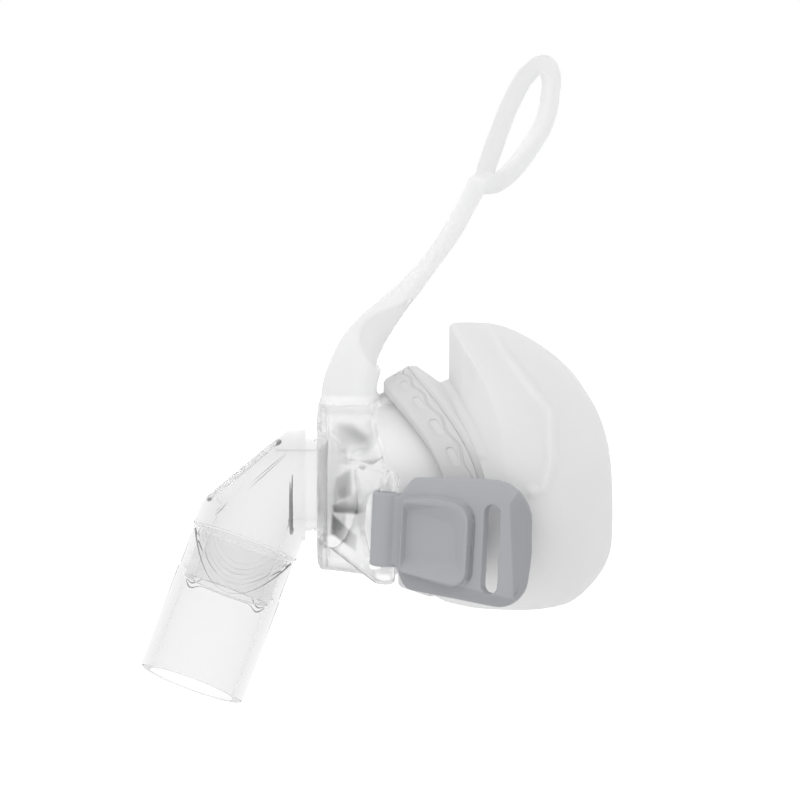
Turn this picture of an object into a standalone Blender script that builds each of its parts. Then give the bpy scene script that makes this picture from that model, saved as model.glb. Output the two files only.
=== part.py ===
"""Nasal CPAP mask: a clear frame with a forehead stem, a vented swivel elbow, a soft seal and two headgear clips.

Metres, +Z up, -Y to the front, +X to the wearer's left. The origin is at the middle of the nose
opening, level with the axis on which the elbow turns.
"""

import math
from dataclasses import dataclass, replace

import bmesh
import bpy
from mathutils import Matrix, Vector

# Clearances and walls
GAP = 0.0003
TURN_GAP = 0.0004
SHELL_WALL = 0.0019
RING_WALL = 0.0022
SEAL_WALL = 0.0017
SEAL_COLLAR = 0.0012

# Round pieces
ROUND_STEPS = 40
HOOP_POINTS = 48

# The front of the frame, and where the elbow's neck snaps in behind its socket
FRONT_Y = -0.0494
SOCKET_DEPTH = 0.0050
SOCKET_WALL = 0.0016
SOCKET_END_Y = FRONT_Y + SOCKET_DEPTH
MOUTH_STEP = 0.0003
FLANGE_CLEARANCE = 0.0026

# Elbow and tube
NECK_RADIUS = 0.0094
NECK_BORE_RADIUS = 0.0072
NECK_BEAD = 0.0007
NECK_BEAD_REACH = 0.0007
NECK_GROOVE = 0.0003
NECK_END_Y = SOCKET_END_Y + NECK_BEAD_REACH
ELBOW_RADIUS = 0.0110
ELBOW_FLANGE_RADIUS = 0.0113
ELBOW_FLANGE_Y = FRONT_Y - FLANGE_CLEARANCE
ELBOW_FLANGE_WIDTH = 0.0009
ELBOW_CAP_DEPTH = 0.0124
TUBE_TILT = math.radians(20.6)
ELBOW_VERTEX_Y = ELBOW_FLANGE_Y - 0.0004 - ELBOW_RADIUS * math.tan((math.pi / 2 - TUBE_TILT) / 2)
VENT_TILT = math.radians(39.4)
VENT_PLANE_DISTANCE = 0.0057
VENT_PLATE_LENGTH = 0.0185
VENT_PLATE_WIDTH = 0.0142
VENT_PLATE_THICKNESS = 0.0020
VENT_PLATE_LEDGE = 0.0012
VENT_HOLE_RADIUS = 0.00055
VENT_HOLE_ROWS = 3
VENT_HOLE_COLUMNS = 5
VENT_HOLE_PITCH = 0.0028
TUBE_RADIUS = 0.0110
TUBE_LENGTH = 0.0308
TUBE_WALL = 0.0022
TUBE_SOCKET_WALL = 0.0015
SPIGOT_WALL = 0.0020
SPIGOT_LENGTH = 0.0108
SPIGOT_BEAD = 0.0006
SPIGOT_BEAD_DEPTH = 0.0090
TUBE_BORE_RADIUS = TUBE_RADIUS - TUBE_WALL
SPIGOT_RADIUS = TUBE_RADIUS - TUBE_SOCKET_WALL - TURN_GAP
SPIGOT_BORE_RADIUS = SPIGOT_RADIUS - SPIGOT_WALL

# Frame
STEM_WALL = 0.0019
STEM_CHANNEL_OVERRUN = 0.0040
SHOULDER_THICKNESS = 0.0026
LOOP_SECTION_POINTS = 12
LOOP_STATIONS = 30
POST_RADIUS = 0.0017
POST_X = 0.0270
POST_Y = -0.0352
POST_Z = -0.0067
POST_LEAN = math.radians(3.0)
WING_FLARE = math.radians(38.0)
WING_THICKNESS = 0.0024
LUG_LENGTH = 0.0034

# Clips
CLIP_FLARE = math.radians(24.0)
CLIP_THICKNESS = 0.0026
CLIP_OUTSET = 0.0010
CLIP_BEVEL = 0.0006
SLEEVE_WALL = 0.0011
SLEEVE_HALF_HEIGHT = 0.0074
SLEEVE_MOUTH = 0.0026
SLEEVE_MOUTH_TURN = math.radians(25.0)
STRAP_SLOT_HEIGHT = 0.0176
STRAP_SLOT_WIDTH = 0.0040
STRAP_SLOT_U = 0.0231
STRAP_SLOT_V = -0.0019
PAD_RISE = 0.0017
DISH_DEPTH = 0.0013

# Slots of the seal ring
RING_SLOTS = 22
RING_SLOT_WIDTH = 0.0024
RING_SLOT_LENGTH = 0.0032
RING_SLOT_DEPTH = 0.0008


@dataclass(frozen=True)
class Hoop:
    """A closed loop round the Y axis. It may swing forwards at its top and bottom, as a saddle does."""

    half_width: float
    top: float
    bottom: float
    y_top: float
    y_side: float
    y_bottom: float
    squareness: float = 2.2
    taper: float = 0.0
    peak: float = 0.0
    sweep: float = 1.5
    nose_dip: float = 0.0

    def inset(self, depth):
        """The same hoop, smaller all round."""
        return replace(
            self,
            half_width=self.half_width - depth,
            top=self.top - depth,
            bottom=self.bottom + depth,
        )

    def moved(self, distance):
        """The same hoop, further to the rear."""
        return replace(
            self,
            y_top=self.y_top + distance,
            y_side=self.y_side + distance,
            y_bottom=self.y_bottom + distance,
        )

    def point(self, angle):
        """The point at this angle from the top, turning towards +X."""
        across, up = math.sin(angle), math.cos(angle)
        power = 2 / self.squareness
        middle = (self.top + self.bottom) / 2
        half_height = (self.top - self.bottom) / 2
        x = self.half_width * math.copysign(abs(across) ** power, across)
        z = middle + half_height * math.copysign(abs(up) ** power, up)
        if up > self.peak:
            end, share = self.y_top, (up - self.peak) / (1 - self.peak)
        else:
            end, share = self.y_bottom, (self.peak - up) / (1 + self.peak)
        y = self.y_side + (end - self.y_side) * share**self.sweep
        turn = min(angle, 2 * math.pi - angle)
        y -= self.nose_dip * math.exp(-((turn / 0.38) ** 2))
        return Vector((x * (1 - self.taper * up), y, z))

    def points(self, count=HOOP_POINTS):
        return [self.point(2 * math.pi * i / count) for i in range(count)]


# The ring that holds the seal, its outside from front to rear
RING_FRONT = Hoop(0.0260, 0.0214, -0.0206, -0.0360, -0.0236, -0.0330, taper=0.06)
RING_REAR = Hoop(0.0284, 0.0243, -0.0226, -0.0310, -0.0168, -0.0270, taper=0.08)

# The outside of the frame's shell, from the socket to the step before the ring
SHELL = (
    Hoop(0.0172, 0.0160, -0.0154, FRONT_Y, FRONT_Y, FRONT_Y, 2.7),
    Hoop(0.0186, 0.0174, -0.0168, FRONT_Y + 0.0004, FRONT_Y + 0.0004, FRONT_Y + 0.0004, 2.7),
    Hoop(0.0191, 0.0177, -0.0171, FRONT_Y + 0.0012, FRONT_Y + 0.0012, FRONT_Y + 0.0012, 2.7),
    Hoop(0.0192, 0.0178, -0.0172, FRONT_Y + 0.0028, FRONT_Y + 0.0028, FRONT_Y + 0.0028, 2.7),
    Hoop(0.0198, 0.0175, -0.0177, -0.0425, -0.0420, -0.0425, 2.6),
    Hoop(0.0210, 0.0174, -0.0182, -0.0395, -0.0350, -0.0390, 2.4),
)

# The outside of the seal, from the ring to the inner edge of its mouth
SEAL = (
    Hoop(0.0304, 0.0209, -0.0236, -0.0245, -0.0150, -0.0235, taper=0.10),
    Hoop(0.0316, 0.0216, -0.0243, -0.0227, -0.0136, -0.0205, taper=0.12, sweep=1.8),
    Hoop(0.0326, 0.0312, -0.0249, -0.0224, -0.0118, -0.0175, taper=0.15, sweep=2.0),
    Hoop(0.0332, 0.0330, -0.0252, -0.0207, -0.0095, -0.0130, taper=0.17, sweep=2.0),
    Hoop(0.0334, 0.0330, -0.0253, -0.0146, -0.0052, -0.0080, taper=0.18, peak=-0.2, sweep=2.2),
    Hoop(0.0322, 0.0318, -0.0249, -0.0088, 0.0000, -0.0030, taper=0.18, peak=-0.3, sweep=2.8, nose_dip=0.0012),
    Hoop(0.0292, 0.0297, -0.0236, -0.0042, 0.0062, 0.0014, taper=0.18, peak=-0.35, sweep=3.2, nose_dip=0.0026),
    Hoop(0.0240, 0.0258, -0.0202, -0.0010, 0.0096, 0.0026, taper=0.20, peak=-0.35, sweep=3.4, nose_dip=0.0036),
    Hoop(0.0188, 0.0210, -0.0156, -0.0022, 0.0088, 0.0008, taper=0.24, peak=-0.4, sweep=3.2, nose_dip=0.0040),
    Hoop(0.0142, 0.0160, -0.0118, -0.0066, 0.0042, -0.0032, taper=0.28, peak=-0.4, sweep=2.6, nose_dip=0.0040),
)


@dataclass(frozen=True)
class StemStation:
    """A section of the forehead stem: its front and rear points in the plane X = 0, and its width."""

    front_y: float
    front_z: float
    rear_y: float
    rear_z: float
    width: float


STEM = (
    StemStation(-0.0484, 0.0120, -0.0385, 0.0110, 0.0316),
    StemStation(-0.0486, 0.0158, -0.0372, 0.0158, 0.0270),
    StemStation(-0.0485, 0.0202, -0.0374, 0.0198, 0.0246),
    StemStation(-0.0471, 0.0248, -0.0365, 0.0236, 0.0222),
    StemStation(-0.0446, 0.0298, -0.0354, 0.0271, 0.0200),
    StemStation(-0.0408, 0.0344, -0.0337, 0.0308, 0.0180),
    StemStation(-0.0360, 0.0383, -0.0315, 0.0346, 0.0162),
    StemStation(-0.0312, 0.0427, -0.0283, 0.0398, 0.0146),
    StemStation(-0.0274, 0.0471, -0.0241, 0.0456, 0.0132),
    StemStation(-0.0240, 0.0522, -0.0203, 0.0509, 0.0122),
    StemStation(-0.0208, 0.0578, -0.0172, 0.0566, 0.0116),
    StemStation(-0.0182, 0.0632, -0.0142, 0.0618, 0.0124),
)
STEM_CHANNEL_FIRST = 3
STEM_CHANNEL_LAST = 8


@dataclass(frozen=True)
class ShoulderStation:
    """A section of the band that runs from the stem down the side of the shell to the upper lug."""

    x: float
    y: float
    z: float
    width: float


SHOULDER = (
    ShoulderStation(0.0080, -0.0432, 0.0194, 0.0100),
    ShoulderStation(0.0122, -0.0428, 0.0158, 0.0090),
    ShoulderStation(0.0172, -0.0416, 0.0120, 0.0078),
    ShoulderStation(0.0198, -0.0396, 0.0084, 0.0066),
    ShoulderStation(0.0226, -0.0380, 0.0052, 0.0054),
    ShoulderStation(0.0254, -0.0368, 0.0026, 0.0046),
)

# The middle line of the left strap loop: up its front limb, over the top and down its outer limb
LOOP_PATH = (
    (0.0032, -0.0152, 0.0640),
    (0.0042, -0.0134, 0.0694),
    (0.0056, -0.0107, 0.0766),
    (0.0078, -0.0076, 0.0826),
    (0.0110, -0.0042, 0.0857),
    (0.0142, -0.0021, 0.0838),
    (0.0162, -0.0022, 0.0792),
    (0.0168, -0.0032, 0.0742),
    (0.0158, -0.0060, 0.0692),
    (0.0124, -0.0097, 0.0643),
    (0.0078, -0.0130, 0.0618),
    (0.0040, -0.0153, 0.0616),
)
LOOP_WIDTH_INNER = 0.0042
LOOP_WIDTH_OUTER = 0.0037
LOOP_THICKNESS_INNER = 0.0034
LOOP_THICKNESS_OUTER = 0.0022

# Outline of a wing from the post, u to the rear and v up: the arms reach the lugs above and below
WING_OUTLINE = (
    (-0.0155, 0.0125),
    (-0.0060, 0.0122),
    (0.0020, 0.0113),
    (0.0020, 0.0079),
    (-0.0028, 0.0079),
    (-0.0052, 0.0062),
    (-0.0063, 0.0034),
    (-0.0063, -0.0012),
    (-0.0036, -0.0079),
    (0.0020, -0.0079),
    (0.0020, -0.0111),
    (-0.0016, -0.0113),
    (-0.0062, -0.0092),
    (-0.0155, -0.0046),
)

# Corners of a clip's plate, grip pad and dish, each with its radius: u to the rear, v up
CLIP_OUTLINE = (
    ((0.0012, 0.0066), 0.0003),
    ((0.0031, 0.0068), 0.0003),
    ((0.0056, 0.0108), 0.0016),
    ((0.0220, 0.0118), 0.0200),
    ((0.0307, 0.0108), 0.0078),
    ((0.0312, -0.0030), 0.0300),
    ((0.0302, -0.0140), 0.0062),
    ((0.0052, -0.0114), 0.0026),
    ((0.0031, -0.0068), 0.0003),
    ((0.0012, -0.0066), 0.0003),
)
PAD_OUTLINE = (
    ((0.0027, 0.0066), 0.0008),
    ((0.0100, 0.0076), 0.0100),
    ((0.0176, 0.0066), 0.0040),
    ((0.0174, -0.0108), 0.0034),
    ((0.0027, -0.0080), 0.0010),
)
DISH_OUTLINE = (
    ((0.0038, 0.0050), 0.0006),
    ((0.0142, 0.0040), 0.0028),
    ((0.0142, -0.0066), 0.0024),
    ((0.0038, -0.0060), 0.0006),
)


def clear_scene():
    for thing in list(bpy.data.objects):
        bpy.data.objects.remove(thing, do_unlink=True)


def collection(name):
    found = bpy.data.collections.new(name)
    bpy.context.scene.collection.children.link(found)
    return found


def material(name, colour, roughness, alpha=1.0, transmission=0.0):
    made = bpy.data.materials.new(name)
    made.use_nodes = True
    shader = made.node_tree.nodes["Principled BSDF"]
    shader.inputs["Base Color"].default_value = (*colour, 1.0)
    shader.inputs["Roughness"].default_value = roughness
    shader.inputs["Metallic"].default_value = 0.0
    shader.inputs["Transmission Weight"].default_value = transmission
    shader.inputs["Alpha"].default_value = alpha
    return made


def object_from(shape, name, home, matrix=None):
    """An object in the collection home, made of the bmesh shape, which is freed."""
    bmesh.ops.recalc_face_normals(shape, faces=shape.faces)
    mesh = bpy.data.meshes.new(name)
    shape.to_mesh(mesh)
    shape.free()
    made = bpy.data.objects.new(name, mesh)
    home.objects.link(made)
    if matrix is not None:
        made.matrix_world = matrix
    return made


def helper(made):
    """Marks a guide or cutter, which isn't part of the mask."""
    made.hide_render = True
    made.display_type = "WIRE"
    return made


def boolean(target, other, operation, solver="EXACT"):
    modifier = target.modifiers.new(f"{operation.title()} {other.name}", "BOOLEAN")
    modifier.operation = operation
    modifier.solver = solver
    modifier.object = other


def smooth(made, degrees=32.0):
    made.data.shade_smooth()
    made.data.set_sharp_from_angle(angle=math.radians(degrees))


def loft(name, home, loops, closed=False, caps=True):
    """A skin over loops that have as many points each. Closed, the last loop meets the first."""
    shape = bmesh.new()
    rings = [[shape.verts.new(point) for point in loop] for loop in loops]
    pairs = list(zip(rings, rings[1:]))
    if closed:
        pairs.append((rings[-1], rings[0]))
    for near, far in pairs:
        count = len(near)
        for i in range(count):
            j = (i + 1) % count
            shape.faces.new((near[i], near[j], far[j], far[i]))
    if caps and not closed:
        shape.faces.new(rings[0])
        shape.faces.new(reversed(rings[-1]))
    return object_from(shape, name, home)


def turned(name, home, profile, matrix, steps=ROUND_STEPS):
    """A body of revolution about its local Z from (radius, height) points, down its outer side."""
    shape = bmesh.new()
    corners = [shape.verts.new((radius, 0.0, height)) for radius, height in profile]
    for corner, following in zip(corners, corners[1:] + corners[:1]):
        if corner.co.x > 0 or following.co.x > 0:
            shape.edges.new((corner, following))
    mesh = bpy.data.meshes.new(name)
    shape.to_mesh(mesh)
    shape.free()
    made = bpy.data.objects.new(name, mesh)
    home.objects.link(made)
    made.matrix_world = matrix
    screw = made.modifiers.new("Turned", "SCREW")
    screw.axis = "Z"
    screw.angle = 2 * math.pi
    screw.steps = steps
    screw.render_steps = steps
    screw.use_merge_vertices = True
    screw.merge_threshold = 0.00001
    screw.use_smooth_shade = True
    return made


def prism(name, home, outline, low, high, matrix=None):
    """A solid with this outline in its local Y and Z, from low to high along its local X."""
    shape = bmesh.new()
    face = shape.faces.new([shape.verts.new((low, u, v)) for u, v in outline])
    grown = bmesh.ops.extrude_face_region(shape, geom=[face])
    moved = [item for item in grown["geom"] if isinstance(item, bmesh.types.BMVert)]
    bmesh.ops.translate(shape, verts=moved, vec=(high - low, 0.0, 0.0))
    return object_from(shape, name, home, matrix)


def rounded(corners, steps=5):
    """The outline through these ((u, v), radius) corners, each rounded by an arc."""
    outline = []
    count = len(corners)
    for i, (corner, radius) in enumerate(corners):
        here = Vector(corner)
        before = (Vector(corners[i - 1][0]) - here).normalized()
        after = (Vector(corners[(i + 1) % count][0]) - here).normalized()
        half = before.angle(after) / 2
        reach = radius / math.tan(half)
        centre = here + (before + after).normalized() * (radius / math.sin(half))
        start = here + before * reach - centre
        end = here + after * reach - centre
        turn = start.angle_signed(end)
        for step in range(steps + 1):
            angle = -turn * step / steps
            outline.append(centre + Matrix.Rotation(angle, 2) @ start)
    return outline


def smooth_path(points, count):
    """Points on a closed smooth curve through the points given."""
    through = [Vector(point) for point in points]
    found = []
    for i in range(count):
        place = i * len(through) / count
        k, t = int(place), place - int(place)
        a, b, c, d = (through[(k + shift) % len(through)] for shift in (-1, 0, 1, 2))
        found.append(
            0.5 * (2 * b + (c - a) * t + (2 * a - 5 * b + 4 * c - d) * t**2 + (3 * b - a - 3 * c + d) * t**3)
        )
    return found


def section(centre, along, across, width, thickness, count, squareness=3.0):
    """A rounded section: its width lies along one direction and its thickness across the other."""
    power = 2 / squareness
    found = []
    for i in range(count):
        angle = 2 * math.pi * (i + 0.5) / count
        side = math.copysign(abs(math.cos(angle)) ** power, math.cos(angle))
        rise = math.copysign(abs(math.sin(angle)) ** power, math.sin(angle))
        found.append(centre + along * (side * width / 2) + across * (rise * thickness / 2))
    return found


def side_matrix(side, flare):
    """The frame of a post: X outwards, Y to the rear along the plate and Z up the post."""
    place = Matrix.Translation((side * POST_X, POST_Y, POST_Z))
    return place @ Matrix.Rotation(-side * flare, 4, "Z") @ Matrix.Rotation(-POST_LEAN, 4, "X")


def tube_direction():
    """The way down the tube."""
    return Vector((0.0, -math.sin(TUBE_TILT), -math.cos(TUBE_TILT)))


def elbow_cap():
    """The middle of the elbow's lower end."""
    return Vector((0.0, ELBOW_VERTEX_Y, 0.0)) + tube_direction() * ELBOW_CAP_DEPTH


def tube_matrix():
    """Local Z runs up the tube, with its origin at the elbow's lower end."""
    return Matrix.Translation(elbow_cap()) @ Matrix.Rotation(-TUBE_TILT, 4, "X")


def neck_matrix():
    """Local Z runs to the rear along the socket's axis, with its origin on that axis at Y = 0."""
    return Matrix.Rotation(-math.pi / 2, 4, "X")


def vent_matrix():
    """Local Z points out of the slanted face and local Y runs up the slope, in the middle of the face."""
    normal = Vector((0.0, -math.sin(VENT_TILT), math.cos(VENT_TILT)))
    up_slope = Vector((0.0, math.cos(VENT_TILT), math.sin(VENT_TILT)))
    middle = Vector((0.0, ELBOW_VERTEX_Y, 0.0)) + normal * VENT_PLANE_DISTANCE - up_slope * 0.0016
    place = Matrix((Vector((1.0, 0.0, 0.0)), up_slope, normal)).transposed().to_4x4()
    place.translation = middle
    return place


def elbow_loops(radius, lower_radius, neck_y, cap_overrun):
    """Circles at the elbow's two ends and the ellipse where its two legs meet."""
    down = tube_direction()
    back = Vector((0.0, 1.0, 0.0))
    vertex = Vector((0.0, ELBOW_VERTEX_Y, 0.0))
    fold = (back - down).normalized()
    lower_up = Vector((0.0, -math.cos(TUBE_TILT), math.sin(TUBE_TILT)))
    neck, mitre, cap = [], [], []
    for i in range(ROUND_STEPS):
        angle = 2 * math.pi * i / ROUND_STEPS
        x, z = math.sin(angle), math.cos(angle)
        start = Vector((x * radius, neck_y, z * radius))
        offset = start - vertex
        meeting = start - back * (offset.dot(fold) / back.dot(fold))
        end = vertex + down * (ELBOW_CAP_DEPTH + cap_overrun)
        end += Vector((x * lower_radius, 0.0, 0.0)) + lower_up * (z * lower_radius)
        neck.append(start)
        mitre.append(meeting)
        cap.append(end)
    return [neck, mitre, cap]


def build_elbow(parts, cutters, clear):
    elbow = loft("elbow", parts, elbow_loops(ELBOW_RADIUS, ELBOW_RADIUS, ELBOW_FLANGE_Y - 0.0003, -0.0003))
    neck_profile = (
        (ELBOW_FLANGE_RADIUS, ELBOW_FLANGE_Y),
        (ELBOW_FLANGE_RADIUS, ELBOW_FLANGE_Y - ELBOW_FLANGE_WIDTH),
        (0.0, ELBOW_FLANGE_Y - 2 * ELBOW_FLANGE_WIDTH),
        (0.0, NECK_END_Y + 0.0012),
        (NECK_RADIUS, NECK_END_Y + 0.0012),
        (NECK_RADIUS + NECK_BEAD, NECK_END_Y + 0.0006),
        (NECK_RADIUS + NECK_BEAD, NECK_END_Y),
        (NECK_RADIUS, NECK_END_Y - 0.0003),
        (NECK_RADIUS, FRONT_Y - 0.0006),
        (NECK_RADIUS - NECK_GROOVE, FRONT_Y - 0.0008),
        (NECK_RADIUS - NECK_GROOVE, FRONT_Y - 0.0012),
        (NECK_RADIUS, FRONT_Y - 0.0014),
        (NECK_RADIUS, ELBOW_FLANGE_Y),
    )
    neck = helper(turned("neck", cutters, neck_profile, neck_matrix()))
    spigot_profile = (
        (ELBOW_RADIUS + 0.0005, 0.0006),
        (ELBOW_RADIUS + 0.0005, 0.0),
        (SPIGOT_RADIUS, 0.0),
        (SPIGOT_RADIUS, SPIGOT_BEAD - SPIGOT_BEAD_DEPTH),
        (SPIGOT_RADIUS + SPIGOT_BEAD, -SPIGOT_BEAD_DEPTH),
        (SPIGOT_RADIUS, -SPIGOT_BEAD - SPIGOT_BEAD_DEPTH),
        (SPIGOT_RADIUS, -SPIGOT_LENGTH),
        (0.0, -SPIGOT_LENGTH),
        (0.0, 0.0006),
    )
    spigot = helper(turned("spigot", cutters, spigot_profile, tube_matrix()))
    boolean(elbow, neck, "UNION", "MANIFOLD")
    boolean(elbow, spigot, "UNION", "MANIFOLD")
    bore_loops = elbow_loops(NECK_BORE_RADIUS, SPIGOT_BORE_RADIUS, NECK_END_Y + 0.004, SPIGOT_LENGTH + 0.002)
    bore = helper(loft("elbow_bore", cutters, bore_loops))
    face_size = 4 * ELBOW_RADIUS
    outline = [(-face_size, 0.0), (face_size, 0.0), (face_size, face_size), (-face_size, face_size)]
    slope = helper(prism("slope_cutter", cutters, outline, -face_size, face_size, vent_matrix()))
    seat = helper(vent_disc("vent_seat", cutters, GAP, -VENT_PLATE_THICKNESS - GAP, 0.001))
    depth = VENT_PLANE_DISTANCE + 0.0008
    window = helper(vent_disc("vent_window", cutters, -VENT_PLATE_LEDGE, -depth, 0.001))
    for cutter in (bore, slope, seat, window):
        boolean(elbow, cutter, "DIFFERENCE", "MANIFOLD")
    elbow.data.materials.append(clear)
    smooth(elbow)
    return elbow


def vent_disc(name, home, margin, low, high):
    """An oval disc in the slanted face, larger than the vent plate by the margin."""
    shape = bmesh.new()
    bmesh.ops.create_cone(shape, cap_ends=True, segments=36, radius1=1.0, radius2=1.0, depth=high - low)
    half_sizes = (VENT_PLATE_WIDTH / 2 + margin, VENT_PLATE_LENGTH / 2 + margin, 1.0)
    bmesh.ops.scale(shape, vec=half_sizes, verts=shape.verts)
    bmesh.ops.translate(shape, vec=(0.0, 0.0, (low + high) / 2), verts=shape.verts)
    return object_from(shape, name, home, vent_matrix())


def build_vent_cover(parts, cutters, clear):
    cover = vent_disc("vent_cover", parts, 0.0, -VENT_PLATE_THICKNESS, 0.0)
    holes = bmesh.new()
    for row in range(VENT_HOLE_ROWS):
        for column in range(VENT_HOLE_COLUMNS):
            x = (row - (VENT_HOLE_ROWS - 1) / 2) * VENT_HOLE_PITCH
            y = (column - (VENT_HOLE_COLUMNS - 1) / 2) * VENT_HOLE_PITCH
            bmesh.ops.create_cone(
                holes,
                cap_ends=True,
                segments=8,
                radius1=VENT_HOLE_RADIUS,
                radius2=VENT_HOLE_RADIUS,
                depth=3 * VENT_PLATE_THICKNESS,
                matrix=Matrix.Translation((x, y, 0.0)),
            )
    cutter = helper(object_from(holes, "vent_holes", cutters, vent_matrix()))
    boolean(cover, cutter, "DIFFERENCE")
    cover.data.materials.append(clear)
    smooth(cover)
    return cover


def build_tube(parts, clear):
    """The swivel tube. A groove inside it turns on the spigot's bead."""
    socket = SPIGOT_RADIUS + TURN_GAP
    top = -TURN_GAP
    foot = top - TUBE_LENGTH
    bead = SPIGOT_BEAD + TURN_GAP
    profile = (
        (TUBE_RADIUS - 0.0002, top),
        (TUBE_RADIUS - 0.0002, -SPIGOT_BEAD_DEPTH),
        (TUBE_RADIUS, -SPIGOT_BEAD_DEPTH - 0.0004),
        (TUBE_RADIUS, foot + 0.0004),
        (TUBE_RADIUS - 0.0003, foot),
        (TUBE_BORE_RADIUS + 0.0003, foot),
        (TUBE_BORE_RADIUS, foot + 0.0004),
        (TUBE_BORE_RADIUS, -SPIGOT_LENGTH - 0.0016),
        (socket, -SPIGOT_LENGTH - 0.0008),
        (socket, -bead - SPIGOT_BEAD_DEPTH),
        (socket + SPIGOT_BEAD, -SPIGOT_BEAD_DEPTH),
        (socket, bead - SPIGOT_BEAD_DEPTH),
        (socket, top),
    )
    tube = turned("swivel_tube", parts, profile, tube_matrix())
    tube.data.materials.append(clear)
    return tube


def between(near, far):
    """The section halfway between two of the stem's."""
    sizes = zip(vars(near).values(), vars(far).values())
    return StemStation(*((a + b) / 2 for a, b in sizes))


def stem_loops(stations, inset=0.0, floor=0.0, rear_extra=0.0):
    """Rounded sections of the stem, or of the channel in its rear, whose floor may rise to the rear."""
    found = []
    for station in stations:
        front = Vector((0.0, station.front_y, station.front_z))
        rear = Vector((0.0, station.rear_y, station.rear_z))
        back = (rear - front).normalized()
        front += back * (inset + floor)
        rear += back * rear_extra
        centre = (front + rear) / 2
        depth = (rear - front).length
        across = Vector((1.0, 0.0, 0.0))
        found.append(section(centre, across, back, station.width - 2 * inset, depth, 20, 4.0))
    return found


def channel_loops():
    """Sections of the channel in the stem's rear. It is deepest in the middle and runs out at both ends."""
    rows = STEM[STEM_CHANNEL_FIRST:STEM_CHANNEL_LAST]
    stations = [station for near, far in zip(rows, rows[1:]) for station in (near, between(near, far))]
    stations.append(rows[-1])
    found = []
    for i, station in enumerate(stations):
        along = 2 * i / (len(stations) - 1) - 1
        depth = math.hypot(station.rear_y - station.front_y, station.rear_z - station.front_z)
        floor = (depth - STEM_WALL + GAP) * along**2
        found += stem_loops([station], STEM_WALL, floor, STEM_CHANNEL_OVERRUN)
    return found


def shoulder_loops(side):
    """Sections of a shoulder, which turns to lie in line with the wing at its lower end."""
    centres = [Vector((side * station.x, station.y, station.z)) for station in SHOULDER]
    found = []
    for i, (station, centre) in enumerate(zip(SHOULDER, centres)):
        tangent = (centres[min(i + 1, len(centres) - 1)] - centres[max(i - 1, 0)]).normalized()
        turn = WING_FLARE * i / (len(centres) - 1)
        back = Vector((side * math.sin(turn), math.cos(turn), 0.0))
        across = tangent.cross(back).normalized()
        along = across.cross(tangent).normalized()
        found.append(section(centre, along, across, station.width, SHOULDER_THICKNESS, LOOP_SECTION_POINTS))
    return found


def loop_loops(side):
    """Sections along a strap loop: a rounded inner limb and a flat outer ribbon."""
    path = smooth_path([(side * x, y, z) for x, y, z in LOOP_PATH], LOOP_STATIONS)
    middle = sum(path, Vector()) / len(path)
    normal = Vector()
    for here, there in zip(path, path[1:] + path[:1]):
        normal += (here - middle).cross(there - middle)
    normal.normalize()
    outermost = max(abs(point.x) for point in path)
    found = []
    for i, point in enumerate(path):
        tangent = (path[(i + 1) % len(path)] - path[i - 1]).normalized()
        outwards = tangent.cross(normal).normalized()
        across = outwards.cross(tangent).normalized()
        share = abs(point.x) / outermost
        width = LOOP_WIDTH_INNER + (LOOP_WIDTH_OUTER - LOOP_WIDTH_INNER) * share
        thickness = LOOP_THICKNESS_INNER + (LOOP_THICKNESS_OUTER - LOOP_THICKNESS_INNER) * share
        found.append(section(point, outwards, across, width, thickness, LOOP_SECTION_POINTS))
    return found


def build_frame(parts, cutters, clear):
    ring_inside = RING_WALL + GAP
    halfway = Hoop(*((a + b) / 2 for a, b in zip(hoop_sizes(RING_FRONT), hoop_sizes(RING_REAR))), taper=0.07)
    bore = NECK_RADIUS + TURN_GAP
    rim = bore + SOCKET_WALL / 2
    mouth = Hoop(rim, rim, -rim, FRONT_Y, FRONT_Y, FRONT_Y, 2.0)
    skin = (*SHELL, RING_FRONT.inset(ring_inside), halfway.inset(ring_inside))
    frame = loft("frame", parts, [hoop.points() for hoop in (mouth, *skin)], caps=False)
    wall = frame.modifiers.new("Wall", "SOLIDIFY")
    wall.thickness = SHELL_WALL
    wall.offset = -1.0
    socket_profile = (
        (bore + SOCKET_WALL, SOCKET_END_Y),
        (bore + SOCKET_WALL, FRONT_Y + MOUTH_STEP),
        (bore, FRONT_Y + MOUTH_STEP),
        (bore, SOCKET_END_Y),
    )
    socket = helper(turned("socket", cutters, socket_profile, neck_matrix()))
    stem = helper(loft("stem", cutters, stem_loops(STEM)))
    half = WING_THICKNESS / 2
    posts = []
    for side, name in ((1, "left"), (-1, "right")):
        loop = loft(f"{name}_loop", cutters, loop_loops(side), closed=True)
        shoulder = loft(f"{name}_shoulder", cutters, shoulder_loops(side))
        wing = prism(f"{name}_wing", cutters, WING_OUTLINE, -half, half, side_matrix(side, WING_FLARE))
        for piece in (loop, shoulder, wing):
            boolean(stem, helper(piece), "UNION", "MANIFOLD")
        reach = SLEEVE_HALF_HEIGHT + GAP + LUG_LENGTH - 0.0004
        post_profile = ((POST_RADIUS, reach), (POST_RADIUS, -reach), (0.0, -reach), (0.0, reach))
        posts.append(helper(turned(f"{name}_post", cutters, post_profile, side_matrix(side, CLIP_FLARE), 24)))
    core = helper(loft("shell_core", cutters, [hoop.inset(SHELL_WALL / 2).points() for hoop in skin]))
    channel = helper(loft("stem_channel", cutters, channel_loops()))
    for cutter in (core, channel):
        boolean(stem, cutter, "DIFFERENCE", "MANIFOLD")
    for piece in (socket, stem, *posts):
        boolean(frame, piece, "UNION", "MANIFOLD")
    frame.data.materials.append(clear)
    smooth(frame)
    return frame


def hoop_sizes(hoop):
    return (hoop.half_width, hoop.top, hoop.bottom, hoop.y_top, hoop.y_side, hoop.y_bottom)


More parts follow.
